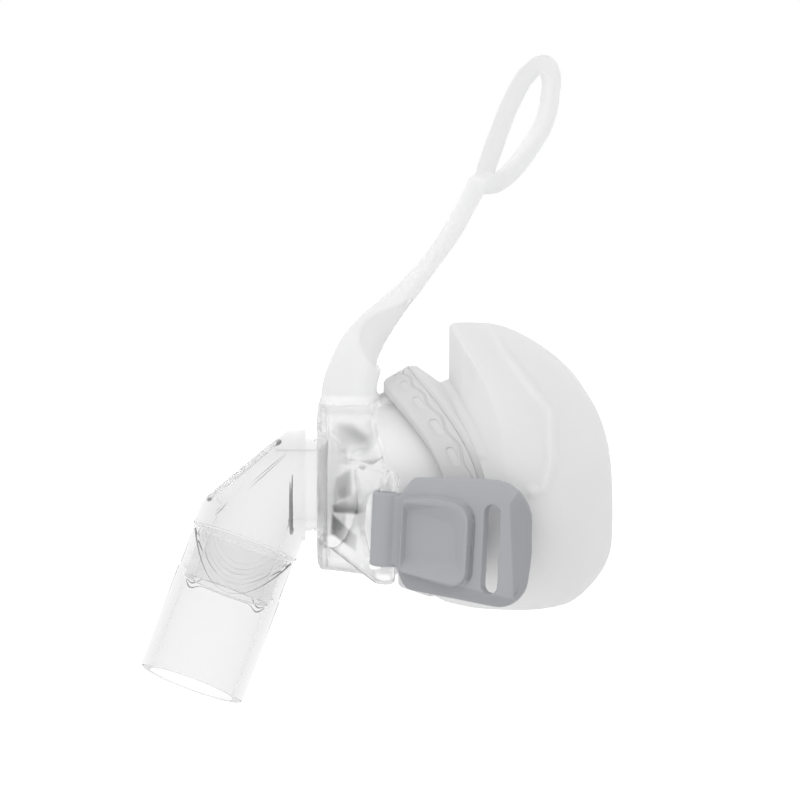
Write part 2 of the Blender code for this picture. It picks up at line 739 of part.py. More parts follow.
def build_ring(parts, cutters, milky):
    outside = (RING_FRONT, RING_REAR)
    inside = (RING_REAR.inset(RING_WALL), RING_FRONT.inset(RING_WALL))
    loops = [hoop.points() for hoop in (*outside, *inside)]
    ring = loft("seal_ring", parts, loops, closed=True)
    slots = bmesh.new()
    for i in range(RING_SLOTS):
        angle = 2 * math.pi * (i + 0.5) / RING_SLOTS
        near, far = RING_FRONT.point(angle), RING_REAR.point(angle)
        along = (far - near).normalized()
        round_ring = (RING_FRONT.point(angle + 0.05) - RING_FRONT.point(angle - 0.05)).normalized()
        outwards = along.cross(round_ring).normalized()
        if outwards.dot(Vector((near.x, 0.0, near.z))) < 0:
            outwards.negate()
        round_ring = outwards.cross(along).normalized()
        place = Matrix((along, round_ring, outwards)).transposed().to_4x4()
        place.translation = (near + far) / 2
        depth = 2 * RING_SLOT_DEPTH
        sizes = Matrix.Diagonal((RING_SLOT_WIDTH, RING_SLOT_LENGTH, depth, 1.0))
        bmesh.ops.create_cube(slots, size=1.0, matrix=place @ sizes)
    boolean(ring, helper(object_from(slots, "ring_slots", cutters)), "DIFFERENCE")
    ring.data.materials.append(milky)
    smooth(ring)
    return ring


def build_seal(parts, silicone):
    skin = (RING_REAR.moved(GAP), RING_REAR.moved(GAP + SEAL_COLLAR), *SEAL)
    seal = loft("seal", parts, [hoop.points() for hoop in skin], caps=False)
    wall = seal.modifiers.new("Wall", "SOLIDIFY")
    wall.thickness = SEAL_WALL
    wall.offset = -1.0
    seal.data.materials.append(silicone)
    smooth(seal, 60.0)
    return seal


def tapered_block(name, home, outline, low, high, spread, matrix):
    """A block over an outline that grows by the spread from low to high along local X."""
    middle = sum(outline, Vector((0.0, 0.0))) / len(outline)
    far = [middle + (point - middle) * (1 + spread / (point - middle).length) for point in outline]
    loops = [[Vector((x, p.x, p.y)) for p in points] for x, points in ((low, outline), (high, far))]
    block = loft(name, home, loops)
    block.matrix_world = matrix
    return block


def rounded_slot(middle_u, middle_v, width, height):
    """The corners of an upright slot with round ends."""
    radius = width / 2 - 0.0001
    left, right = middle_u - width / 2, middle_u + width / 2
    low, high = middle_v - height / 2, middle_v + height / 2
    return [((left, high), radius), ((right, high), radius), ((right, low), radius), ((left, low), radius)]


def build_clip(parts, cutters, side, name, grey):
    """A headgear clip: a sleeve that snaps round the post, a grip pad and a slot for the strap."""
    matrix = side_matrix(side, CLIP_FLARE)
    inner = side * (CLIP_OUTSET - CLIP_THICKNESS / 2)
    outer = side * (CLIP_OUTSET + CLIP_THICKNESS / 2)
    clip = prism(name, parts, rounded(CLIP_OUTLINE), inner, outer, matrix)
    bevel = clip.modifiers.new("Soft edges", "BEVEL")
    bevel.width = CLIP_BEVEL
    bevel.segments = 2
    bevel.limit_method = "ANGLE"
    bevel.angle_limit = math.radians(60)
    bore = POST_RADIUS + TURN_GAP
    outside = bore + SLEEVE_WALL
    sleeve_profile = (
        (0.0, SLEEVE_HALF_HEIGHT),
        (outside - 0.0003, SLEEVE_HALF_HEIGHT),
        (outside, SLEEVE_HALF_HEIGHT - 0.0003),
        (outside, 0.0003 - SLEEVE_HALF_HEIGHT),
        (outside - 0.0003, -SLEEVE_HALF_HEIGHT),
        (0.0, -SLEEVE_HALF_HEIGHT),
    )
    sleeve = turned(f"{name}_sleeve", cutters, sleeve_profile, matrix, 32)
    pad_foot = outer - side * 0.0005
    pad_face = outer + side * PAD_RISE
    pad = tapered_block(f"{name}_pad", cutters, rounded(PAD_OUTLINE), pad_foot, pad_face, -0.0009, matrix)
    for piece in (sleeve, pad):
        boolean(clip, helper(piece), "UNION")
    floor = pad_face - side * DISH_DEPTH
    above = pad_face + side * 0.001
    dish = tapered_block(f"{name}_dish", cutters, rounded(DISH_OUTLINE), floor, above, 0.0022, matrix)
    reach = SLEEVE_HALF_HEIGHT + 0.004
    bore_profile = ((0.0, reach), (bore, reach), (bore, -reach), (0.0, -reach))
    post_bore = turned(f"{name}_bore", cutters, bore_profile, matrix, 32)
    depth = outside + 0.002
    turn = Matrix.Rotation(-side * SLEEVE_MOUTH_TURN, 4, "Z") @ Matrix.Translation((-side * depth / 2, 0.0, 0.0))
    sizes = Matrix.Diagonal((depth, SLEEVE_MOUTH, 2 * reach, 1.0))
    block = bmesh.new()
    bmesh.ops.create_cube(block, size=1.0, matrix=turn @ sizes)
    mouth = object_from(block, f"{name}_mouth", cutters, matrix)
    slot_outline = rounded(rounded_slot(STRAP_SLOT_U, STRAP_SLOT_V, STRAP_SLOT_WIDTH, STRAP_SLOT_HEIGHT))
    slot = prism(f"{name}_slot", cutters, slot_outline, -0.01, 0.01, matrix)
    for cutter in (dish, post_bore, mouth, slot):
        boolean(clip, helper(cutter), "DIFFERENCE")
    clip.data.materials.append(grey)
    smooth(clip)
    return clip


def main():
    clear_scene()
    parts = collection("nasal_cpap_mask")
    cutters = collection("cutters")
    clear = material("clear_polycarbonate", (0.90, 0.90, 0.91), 0.08, 0.4, 1.0)
    milky = material("milky_ring", (0.66, 0.66, 0.67), 0.35, 0.9)
    silicone = material("silicone", (0.78, 0.78, 0.78), 0.40, 0.9)
    grey = material("grey_nylon", (0.40, 0.41, 0.43), 0.45)
    build_frame(parts, cutters, clear)
    build_elbow(parts, cutters, clear)
    build_vent_cover(parts, cutters, clear)
    build_tube(parts, clear)
    build_ring(parts, cutters, milky)
    build_seal(parts, silicone)
    build_clip(parts, cutters, 1, "left_clip", grey)
    build_clip(parts, cutters, -1, "right_clip", grey)


main()
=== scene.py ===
"""Nasal CPAP mask: the looks of its clear frame, vented elbow, soft seal and grey headgear clips.

Metres, +Z up, -Y to the front and +X to the wearer's left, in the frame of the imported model.
"""

from __future__ import annotations

import logging
import math
from dataclasses import astuple, dataclass, replace
from enum import Enum
from typing import ClassVar, Iterable, Sequence

import bmesh
import bpy
from mathutils import Matrix, Vector

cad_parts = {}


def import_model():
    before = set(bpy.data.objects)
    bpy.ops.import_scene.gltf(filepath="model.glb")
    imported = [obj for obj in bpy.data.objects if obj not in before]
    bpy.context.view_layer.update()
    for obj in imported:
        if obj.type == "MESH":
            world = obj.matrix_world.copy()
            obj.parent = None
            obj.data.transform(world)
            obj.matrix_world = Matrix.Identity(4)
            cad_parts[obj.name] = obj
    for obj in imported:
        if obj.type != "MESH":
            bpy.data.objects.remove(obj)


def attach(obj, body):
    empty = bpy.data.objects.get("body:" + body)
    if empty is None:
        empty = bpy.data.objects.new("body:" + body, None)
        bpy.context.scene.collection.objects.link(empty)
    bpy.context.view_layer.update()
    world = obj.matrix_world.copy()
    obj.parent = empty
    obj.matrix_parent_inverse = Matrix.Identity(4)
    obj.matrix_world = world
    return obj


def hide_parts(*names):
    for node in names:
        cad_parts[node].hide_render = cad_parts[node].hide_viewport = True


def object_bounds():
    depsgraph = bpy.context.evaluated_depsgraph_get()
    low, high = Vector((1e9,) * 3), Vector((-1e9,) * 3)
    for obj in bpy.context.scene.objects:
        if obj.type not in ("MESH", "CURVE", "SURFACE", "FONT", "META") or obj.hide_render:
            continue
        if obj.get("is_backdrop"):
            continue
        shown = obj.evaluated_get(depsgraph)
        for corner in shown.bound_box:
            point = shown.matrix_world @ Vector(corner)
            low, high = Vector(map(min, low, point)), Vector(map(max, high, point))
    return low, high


LOG = logging.getLogger("nasal_mask")

MM = 0.001
Row = Sequence[float]
Corners = Sequence[tuple[Row, float]]
Outline = list[Vector]
Profile = Sequence[tuple[float, float]]
Socket = bpy.types.NodeSocket
Inputs = dict[int | str, Socket | float | Row]


class Body(Enum):
    """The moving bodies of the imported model."""

    MASK = "mask"
    ELBOW = "elbow"
    TUBE = "tube"
    LEFT_CLIP = "left_clip"
    RIGHT_CLIP = "right_clip"


class Side(Enum):
    """The wearer's left, which faces the camera, and right."""

    LEFT = 1
    RIGHT = -1

    @property
    def word(self) -> str:
        """The name that pieces of this side start with."""
        return self.name.lower()


class Join(Enum):
    """How a helper solid changes the solid that it meets."""

    ADD = "UNION"
    CUT = "DIFFERENCE"


class Solver(Enum):
    """Blender's two ways to work out a Boolean."""

    EXACT = "EXACT"
    MANIFOLD = "MANIFOLD"


def finished_object(name: str, shape: bmesh.types.BMesh, matrix: Matrix | None = None) -> bpy.types.Object:
    """Makes an object of a bmesh shape, with its faces turned outwards, and frees the shape.

    Args:
        name: The object's name.
        shape: The shape, in the object's own coordinates.
        matrix: Where the object stands, or None for the origin.

    Returns:
        The object, linked to the scene, with its place written into its mesh.
    """
    bmesh.ops.recalc_face_normals(shape, faces=shape.faces)
    if matrix is not None:
        bmesh.ops.transform(shape, matrix=matrix, verts=shape.verts)
    mesh = bpy.data.meshes.new(name)
    shape.to_mesh(mesh)
    shape.free()
    made = bpy.data.objects.new(name, mesh)
    bpy.context.scene.collection.objects.link(made)
    return made


def turns_of(count: int) -> list[float]:
    """Finds this many angles, evenly round a full turn."""
    return [2 * math.pi * i / count for i in range(count)]


def ellipse(half_width: float, half_length: float, height: float, turns: Iterable[float]) -> list[Vector]:
    """Finds the points of a flat ellipse at these angles."""
    return [Vector((half_width * math.cos(t), half_length * math.sin(t), height)) for t in turns]


def loft(
    name: str,
    loops: Sequence[Sequence[Vector]],
    closed: bool = False,
    caps: bool = True,
    matrix: Matrix | None = None,
) -> bpy.types.Object:
    """Skins loops that have as many points each.

    Args:
        name: The object's name.
        loops: The loops in order.
        closed: Whether the last loop meets the first.
        caps: Whether the end loops are filled, on a loft that isn't closed.
        matrix: Where the object stands, or None for the origin.

    Returns:
        The skinned object.
    """
    shape = bmesh.new()
    rings = [[shape.verts.new(point) for point in loop] for loop in loops]
    pairs = list(zip(rings, rings[1:]))
    if closed:
        pairs.append((rings[-1], rings[0]))
    for near, far in pairs:
        for i in range(len(near)):
            j = (i + 1) % len(near)
            shape.faces.new((near[i], near[j], far[j], far[i]))
    if caps and not closed:
        shape.faces.new(rings[0])
        shape.faces.new(reversed(rings[-1]))
    return finished_object(name, shape, matrix)


def lathe(name: str, profile: Profile, matrix: Matrix, steps: int = 128) -> bpy.types.Object:
    """Turns a closed profile about local Z.

    Args:
        name: The object's name.
        profile: Corners as radius and height. The first and last may lie on the axis.
        matrix: Where the axis stands.
        steps: How many sides the turned body has.

    Returns:
        The turned object, closed.
    """
    on_axis = profile[0][0] == 0 and profile[-1][0] == 0
    corners = profile[1:-1] if on_axis else profile
    loops = [ellipse(radius, radius, height, turns_of(steps)) for radius, height in corners]
    return loft(name, loops, closed=not on_axis, caps=on_axis, matrix=matrix)


def rod(name: str, radius: float, reach: float, matrix: Matrix, steps: int) -> bpy.types.Object:
    """Makes a round rod that reaches this far both ways along local Z."""
    return lathe(name, ((0.0, -reach), (radius, -reach), (radius, reach), (0.0, reach)), matrix, steps)


def prism(
    name: str, outline: Outline, low: float, high: float, matrix: Matrix, far: Outline | None = None
) -> bpy.types.Object:
    """Makes a solid from low to high along local X.

    Args:
        name: The object's name.
        outline: Its outline in local Y and Z.
        low: Where it starts.
        high: Where it ends.
        matrix: Where the object stands.
        far: The outline at its end, with as many points, or None for the same one.

    Returns:
        The solid.
    """
    ends = ((low, outline), (high, far or outline))
    loops = [[Vector((x, point.x, point.y)) for point in points] for x, points in ends]
    return loft(name, loops, matrix=matrix)


def spread_out(outline: Outline, spread: float) -> Outline:
    """Moves an outline's points this far away from its middle."""
    middle = sum(outline, Vector((0.0, 0.0))) / len(outline)
    return [middle + (point - middle) * (1 + spread / (point - middle).length) for point in outline]


def rounded(corners: Corners, steps: int = 8) -> Outline:
    """Finds the outline through corners, each rounded by an arc.

    Args:
        corners: Each corner as its place and its radius.
        steps: How many edges each arc has.

    Returns:
        The outline's points in order.
    """
    outline = []
    for i, (corner, radius) in enumerate(corners):
        here = Vector(corner)
        before = (Vector(corners[i - 1][0]) - here).normalized()
        after = (Vector(corners[(i + 1) % len(corners)][0]) - here).normalized()
        half = before.angle(after) / 2
        reach = radius / math.tan(half)
        centre = here + (before + after).normalized() * (radius / math.sin(half))
        start = here + before * reach - centre
        turn = start.angle_signed(here + after * reach - centre)
        for step in range(steps + 1):
            outline.append(centre + Matrix.Rotation(-turn * step / steps, 2) @ start)
    return outline


def spline(values: Row, t: float) -> float:
    """Finds the value at this share of the way between the middle two of four values on a smooth curve."""
    a, b, c, d = values
    return 0.5 * (2 * b + (c - a) * t + (2 * a - 5 * b + 4 * c - d) * t**2 + (3 * b - a - 3 * c + d) * t**3)


def smooth_rows(rows: Sequence[Row], steps: int, closed: bool = False) -> list[list[float]]:
    """Finds rows of numbers on a smooth curve through the rows given.

    Args:
        rows: The rows to pass through.
        steps: How many rows are made for each one given.
        closed: Whether the curve comes back to its start.

    Returns:
        The rows in order, the given ones among them.
    """
    count = len(rows)
    found = []
    for k in range(count if closed else count - 1):
        places = [k + shift for shift in (-1, 0, 1, 2)]
        if closed:
            through = [rows[place % count] for place in places]
        else:
            through = [rows[min(max(place, 0), count - 1)] for place in places]
        for step in range(steps):
            found.append([spline(values, step / steps) for values in zip(*through)])
    if not closed:
        found.append(list(rows[-1]))
    return found


def squared(value: float, squareness: float) -> float:
    """Pushes a sine or cosine outwards, so that an oval becomes squarer."""
    return math.copysign(abs(value) ** (2 / squareness), value)


def rounded_section(
    centre: Vector,
    along: Vector,
    across: Vector,
    width: float,
    thickness: float,
    count: int,
    squareness: float,
) -> list[Vector]:
    """Finds the points of a flat section between an oval and a box.

    Args:
        centre: The section's middle.
        along: The direction of its width.
        across: The direction of its thickness.
        width: Its size along.
        thickness: Its size across.
        count: How many points it has.
        squareness: 2 for an oval, and more for squarer corners.

    Returns:
        The points in order.
    """
    found = []
    for i in range(count):
        angle = 2 * math.pi * (i + 0.5) / count
        side, rise = (squared(value, squareness) for value in (math.cos(angle), math.sin(angle)))
        found.append(centre + along * (side * width / 2) + across * (rise * thickness / 2))
    return found


def neighbour_span(path: Sequence[Vector], i: int, closed: bool = False) -> Vector:
    """Finds the way from the point before a path's point to the one after it.

    Args:
        path: The points of the path.
        i: Which point it is.
        closed: Whether the path comes back to its start. Otherwise it stops at both ends.

    Returns:
        The way between the two neighbours.
    """
    count = len(path)
    if closed:
        return path[(i + 1) % count] - path[i - 1]
    return path[min(i + 1, count - 1)] - path[max(i - 1, 0)]


def wire(name: str, path: Sequence[Vector], radii: Sequence[float], closed: bool = False) -> bpy.types.Object:
    """Makes a thin round bead along a path.

    Args:
        name: The object's name.
        path: The points of its middle line.
        radii: Its radius at each point.
        closed: Whether the path comes back to its start.

    Returns:
        The bead.
    """
    loops = []
    for i, (point, radius) in enumerate(zip(path, radii)):
        tangent = neighbour_span(path, i, closed)
        if i == 0:
            across = tangent.orthogonal().normalized()
        else:
            across = (across - tangent * (across.dot(tangent) / tangent.length_squared)).normalized()
        along = tangent.cross(across).normalized()
        loops.append([point + (across * math.cos(t) + along * math.sin(t)) * radius for t in turns_of(8)])
    made = loft(name, loops, closed=closed)
    made.data.shade_smooth()
    return made


def combine(
    target: bpy.types.Object,
    helpers: Iterable[bpy.types.Object],
    join: Join,
    solver: Solver = Solver.EXACT,
) -> None:
    """Adds or cuts helper solids, and deletes them.

    Args:
        target: The solid that changes.
        helpers: The solids that change it.
        join: Whether they are added or cut.
        solver: Blender's way to work it out.
    """
    for other in helpers:
        modify(target, "BOOLEAN", operation=join.value, solver=solver.value, object=other)
        bpy.data.objects.remove(other, do_unlink=True)


def apply_modifiers(target: bpy.types.Object) -> None:
    """Writes the result of an object's modifiers into its mesh.

    Args:
        target: The object, which keeps no modifier.
    """
    graph = bpy.context.evaluated_depsgraph_get()
    mesh = bpy.data.meshes.new_from_object(target.evaluated_get(graph), depsgraph=graph)
    target.modifiers.clear()
    target.data = mesh


def modify(target: bpy.types.Object, kind: str, **settings: float | str | bpy.types.Object) -> None:
    """Changes an object's mesh by one modifier.

    Args:
        target: The object.
        kind: The modifier's type.
        settings: The modifier's own values.
    """
    modifier = target.modifiers.new(kind.lower(), kind)
    for name, value in settings.items():
        setattr(modifier, name, value)
    apply_modifiers(target)


def thicken(target: bpy.types.Object, wall: float) -> None:
    """Gives an open skin a wall on its inner side."""
    modify(target, "SOLIDIFY", thickness=wall, offset=-1.0)


def bevel_edges(target: bpy.types.Object, width: float, segments: int, degrees: float) -> None:
    """Rounds the edges that turn by more than this."""
    limit = math.radians(degrees)
    modify(target, "BEVEL", width=width, segments=segments, limit_method="ANGLE", angle_limit=limit)


def soften(target: bpy.types.Object, degrees: float = 30.0) -> None:
    """Shades an object smooth, apart from edges that turn by more than this."""
    target.data.shade_smooth()
    target.data.set_sharp_from_angle(angle=math.radians(degrees))


# How far the smoothing moves each point towards its neighbours' middle
SMOOTHING = 0.6


def melt_edges(target: bpy.types.Object, voxel: float, passes: int, kept: float = 1.0) -> None:
    """Rounds every edge of a solid as a mould does.

    Args:
        target: The solid.
        voxel: The size of its new faces.
        passes: How often the faces are evened out. The radius grows with it.
        kept: The share of the faces that stay.
    """
    modify(target, "REMESH", mode="VOXEL", voxel_size=voxel)
    modify(target, "SMOOTH", factor=SMOOTHING, iterations=passes)
    if kept < 1:
        modify(target, "DECIMATE", ratio=kept)
    target.data.shade_smooth()


@dataclass(frozen=True)
class Hoop:
    """A closed loop round the Y axis. It may swing forwards at its top and bottom, as a saddle does.

    Its squareness is 2 for an oval, and more for squarer corners. A taper narrows its top. The peak is where
    it lies furthest to the rear, from -1 at the bottom to 1 at the top. The sweep is how late the swing
    starts, and the nose dip is how far its top is drawn forwards.
    """

    # How far to each side of the top the dip for the nose reaches, in radians
    NOSE_REACH: ClassVar[float] = 0.38

    half_width: float
    top: float
    bottom: float
    y_top: float
    y_side: float
    y_bottom: float
    squareness: float = 2.2
    taper: float = 0.0
    peak: float = 0.0
    sweep: float = 1.5
    nose_dip: float = 0.0

    def inset(self, depth: float) -> Hoop:
        """Gives the same hoop, smaller all round.

        Args:
            depth: How much smaller it is.

        Returns:
            The smaller hoop.
        """
        return replace(
            self, half_width=self.half_width - depth, top=self.top - depth, bottom=self.bottom + depth
        )

    def moved(self, distance: float) -> Hoop:
        """Gives the same hoop, further to the rear.

        Args:
            distance: How far it moves.

        Returns:
            The moved hoop.
        """
        return replace(
            self,
            y_top=self.y_top + distance,
            y_side=self.y_side + distance,
            y_bottom=self.y_bottom + distance,
        )

    def point(self, angle: float) -> Vector:
        """Gives the point at this angle from the top, turning towards +X.

        Args:
            angle: The angle in radians.

        Returns:
            The point.
        """
        up = math.cos(angle)
        middle = (self.top + self.bottom) / 2
        half_height = (self.top - self.bottom) / 2
        x = self.half_width * squared(math.sin(angle), self.squareness)
        z = middle + half_height * squared(up, self.squareness)
        if up > self.peak:
            end, share = self.y_top, (up - self.peak) / (1 - self.peak)
        else:
            end, share = self.y_bottom, (self.peak - up) / (1 + self.peak)
        y = self.y_side + (end - self.y_side) * share**self.sweep
        turn = min(angle, 2 * math.pi - angle)
        y -= self.nose_dip * math.exp(-((turn / self.NOSE_REACH) ** 2))
        return Vector((x * (1 - self.taper * up), y, z))

    def points(self, count: int) -> list[Vector]:
        """Gives this many points round the hoop."""
        return [self.point(turn) for turn in turns_of(count)]


def smooth_hoops(hoops: Sequence[Hoop], steps: int) -> list[Hoop]:
    """Gives hoops on a smooth skin through the hoops given, with this many for each."""
    return [Hoop(*row) for row in smooth_rows([astuple(hoop) for hoop in hoops], steps)]


RING_FRONT = Hoop(0.0260, 0.0214, -0.0206, -0.0360, -0.0236, -0.0330, taper=0.06)
RING_REAR = Hoop(0.0284, 0.0243, -0.0226, -0.0310, -0.0168, -0.0270, taper=0.08)
RING_MIDDLE = Hoop(*((a + b) / 2 for a, b in zip(astuple(RING_FRONT), astuple(RING_REAR))))


def grey(value: float) -> tuple[float, float, float, float]:
    """Gives a grey as an opaque colour."""
    return (value, value, value, 1.0)


class Wiring:
    """Adds nodes to a shader tree and joins them."""

    def __init__(self, tree: bpy.types.NodeTree) -> None:
        """Takes the tree that the nodes go into."""
        self.tree = tree

    def add(
        self, kind: str, inputs: Inputs | None = None, **settings: str | bool | bpy.types.NodeTree
    ) -> bpy.types.Node:
        """Adds a node.

        Args:
            kind: The node's type, without the words that all shader nodes start with.
            inputs: The value or the socket for each input, by its name or number.
            settings: The node's own options.

        Returns:
            The node.
        """
        node = self.tree.nodes.new(f"ShaderNode{kind}")
        for name, value in settings.items():
            setattr(node, name, value)
        self.fill(node, inputs or {})
        return node

    def fill(self, node: bpy.types.Node, inputs: Inputs) -> None:
        """Sets a node's inputs to values, or links sockets to them.

        Args:
            node: The node.
            inputs: The value or the socket for each input.
        """
        for key, value in inputs.items():
            if isinstance(value, Socket):
                self.tree.links.new(value, node.inputs[key])
            else:
                node.inputs[key].default_value = value

    def compute(self, operation: str, *values: Socket | float, clamp: bool = False) -> Socket:
        """Adds a calculation with values or sockets, and gives its result."""
        node = self.add("Math", dict(enumerate(values)), operation=operation, use_clamp=clamp)
        return node.outputs[0]

    def ramp(
        self, value: Socket, source: tuple[float, float], result: tuple[float, float], smooth: bool = True
    ) -> Socket:
        """Adds a step between two values.

        Args:
            value: The socket that the step follows.
            source: Its values where the step starts and ends.
            result: What the step gives there.
            smooth: Whether its ends are rounded off.

        Returns:
            The socket of the result.
        """
        inputs = {"Value": value, "From Min": source[0], "From Max": source[1]}
        inputs |= {"To Min": result[0], "To Max": result[1]}
        kind = "SMOOTHSTEP" if smooth else "LINEAR"
        return self.add("MapRange", inputs, interpolation_type=kind).outputs["Result"]


class SurfaceGroup:
    """The shader node group that gives every moulded surface its grain, flow marks and tone."""

    NAME = "moulded_surface"
    NUMBERS = ("Variation", "Roughness", "Grain Size", "Grain Height", "Flow Size", "Flow Height")
    OUTPUTS = {"Color": "NodeSocketColor", "Roughness": "NodeSocketFloat", "Normal": "NodeSocketVector"}
    GRAIN_DETAIL = 3.0
    FLOW_DETAIL = 1.0

    def __init__(self) -> None:
        """Builds the group once, for all materials."""
        self.tree = bpy.data.node_groups.new(self.NAME, "ShaderNodeTree")
        self.wiring = Wiring(self.tree)
        inputs = {"Color": "NodeSocketColor"} | dict.fromkeys(self.NUMBERS, "NodeSocketFloat")
        for way, sockets in (("INPUT", inputs), ("OUTPUT", self.OUTPUTS)):
            for name, kind in sockets.items():
                self.tree.interface.new_socket(name=name, in_out=way, socket_type=kind)
        self._wire()

    def _noise(self, place: Socket, size: Socket, detail: float) -> Socket:
        """Adds a noise.

        Args:
            place: The socket of the coordinates.
            size: The socket of the marks' size in metres.
            detail: How much fine detail the noise has.

        Returns:
            The socket of its values.
        """
        scale = self.wiring.compute("DIVIDE", 1.0, size)
        noise = self.wiring.add("TexNoise", {"Detail": detail, "Vector": place, "Scale": scale})
        return noise.outputs["Fac"]

    def _wire(self) -> None:
        """Adds and joins the group's nodes."""
        wiring = self.wiring
        given = self.tree.nodes.new("NodeGroupInput").outputs
        place = wiring.add("TexCoord").outputs["Object"]
        grain = self._noise(place, given["Grain Size"], self.GRAIN_DETAIL)
        flow = self._noise(place, given["Flow Size"], self.FLOW_DETAIL)
        tone = wiring.compute("MULTIPLY_ADD", flow, given["Variation"], 1.0)
        tinted = wiring.add("VectorMath", {0: given["Color"], "Scale": tone}, operation="SCALE")
        waves = wiring.add("Bump", {"Height": flow, "Distance": given["Flow Height"]})
        pits = {"Height": grain, "Distance": given["Grain Height"], "Normal": waves.outputs["Normal"]}
        result = {
            "Color": tinted.outputs[0],
            "Roughness": wiring.compute("MULTIPLY", given["Roughness"], tone),
            "Normal": wiring.add("Bump", pits).outputs["Normal"],
        }
        wiring.fill(self.tree.nodes.new("NodeGroupOutput"), result)


@dataclass(frozen=True)
class Facet:
    """A patch of painted shade in a piece's sides, with soft edges. Lengths are in millimetres.

    It is darkest at its first side, by its strength, and fades from there to the rest of it. The edge is the
    width of its soft border. Its corners are in Y and Z, anticlockwise seen from +X.
    """

    strength: float
    rest: float
    edge: float
    fade: float
    corners: tuple[Row, ...]


class Facets(Enum):
    """The rows of painted shade patches: dark refractions where the wings grow out of the frame, and shade on
    the clips' margins that slope away from the light.
    """

    # Painted shade standing in for the dark refractions of the clear frame where the wings grow out and along
    # its front lip, and for the shadow under the stem
    FRAME = (
        Facet(0.46, 0.55, 0.8, 4.2, ((-42.2, -0.6), (-42.4, 4.8), (-45.5, 2.7), (-46.1, -2.6))),
        Facet(0.42, 0.25, 1.8, 4.5, ((-37.9, 9.8), (-42.3, 13.4), (-45.1, 13.4), (-44.7, 7.8), (-39.5, 7.2))),
        Facet(0.78, 0.30, 0.7, 3.4, ((-45.9, -4.1), (-41.0, -4.1), (-41.0, 0.3), (-46.1, -2.8))),
        Facet(0.82, 0.25, 0.8, 4.8, ((-46.1, -4.4), (-46.4, -8.3), (-41.4, -11.7), (-41.2, -8.7))),
        Facet(0.45, 0.50, 0.6, 1.9, ((-47.1, -11.8), (-47.1, 10.1), (-49.1, 8.5), (-49.1, -11.0))),
    )
    # Painted shade on the plate's right and bottom margins, which slope away from the light
    CLIP = (
        Facet(0.22, 1.0, 0.6, 9.0, ((-10.3, -19.5), (2.0, -30.0), (2.0, 17.3), (-11.1, -0.7))),
        Facet(0.18, 1.0, 0.6, 9.0, ((-34.0, -30.0), (2.0, -30.0), (-10.3, -19.5), (-34.0, -14.6))),
    )


class FacetGroup:
    """A shader node group that marks a row of painted shade patches, far enough out on both sides."""

    SIDE = (13 * MM, 15 * MM)

    def __init__(self, row: Facets) -> None:
        """Builds the group once.

        Args:
            row: The patches of painted shade that it marks.
        """
        # One node group of painted shade for each row of patches
        self.tree = bpy.data.node_groups.new(f"{row.name.lower()}_facets", "ShaderNodeTree")
        self.tree.interface.new_socket(name="Mask", in_out="OUTPUT", socket_type="NodeSocketFloat")
        self.wiring = Wiring(self.tree)
        place = self.wiring.add("TexCoord").outputs["Object"]
        found = self._facet(place, row.value[0])
        for each in row.value[1:]:
            found = self.wiring.compute("MAXIMUM", found, self._facet(place, each))
        apart = self.wiring.add("SeparateXYZ", {0: place})
        outwards = self.wiring.compute("ABSOLUTE", apart.outputs["X"])
        side = self.wiring.ramp(outwards, self.SIDE, (0.0, 1.0))
        result = self.tree.nodes.new("NodeGroupOutput")
        self.wiring.fill(result, {"Mask": self.wiring.compute("MULTIPLY", found, side)})

    def _inside(self, place: Socket, start: Vector, end: Vector) -> Socket:
        """Adds the distance to the inner side of the line between two corners.

        Args:
            place: The socket of the coordinates.
            start: The first corner.
            end: The next corner.

        Returns:
            The socket of the distance.
        """
        along = (end - start).normalized()
        inwards = Vector((0.0, -along.y, along.x))
        product = self.wiring.add("VectorMath", {0: place, 1: inwards}, operation="DOT_PRODUCT")
        line = inwards.y * start.x + inwards.z * start.y
        return self.wiring.compute("SUBTRACT", product.outputs["Value"], line)

    def _facet(self, place: Socket, facet: Facet) -> Socket:
        """Adds one facet's mask.

        Args:
            place: The socket of the coordinates.
            facet: The patch of painted shade.

        Returns:
            The socket of the mask.
        """
        corners = [Vector(corner) * MM for corner in facet.corners]
        sides = [self._inside(place, *ends) for ends in zip(corners, (*corners[1:], corners[0]))]
        tones = (facet.strength, facet.strength * facet.rest)
        tone = self.wiring.ramp(sides[0], (0.0, facet.fade * MM), tones)
        depth = sides[0]
        for side in sides[1:]:
            depth = self.wiring.compute("MINIMUM", depth, side)
        half = facet.edge * MM / 2
        return self.wiring.compute("MULTIPLY", tone, self.wiring.ramp(depth, (-half, half), (0.0, 1.0)))


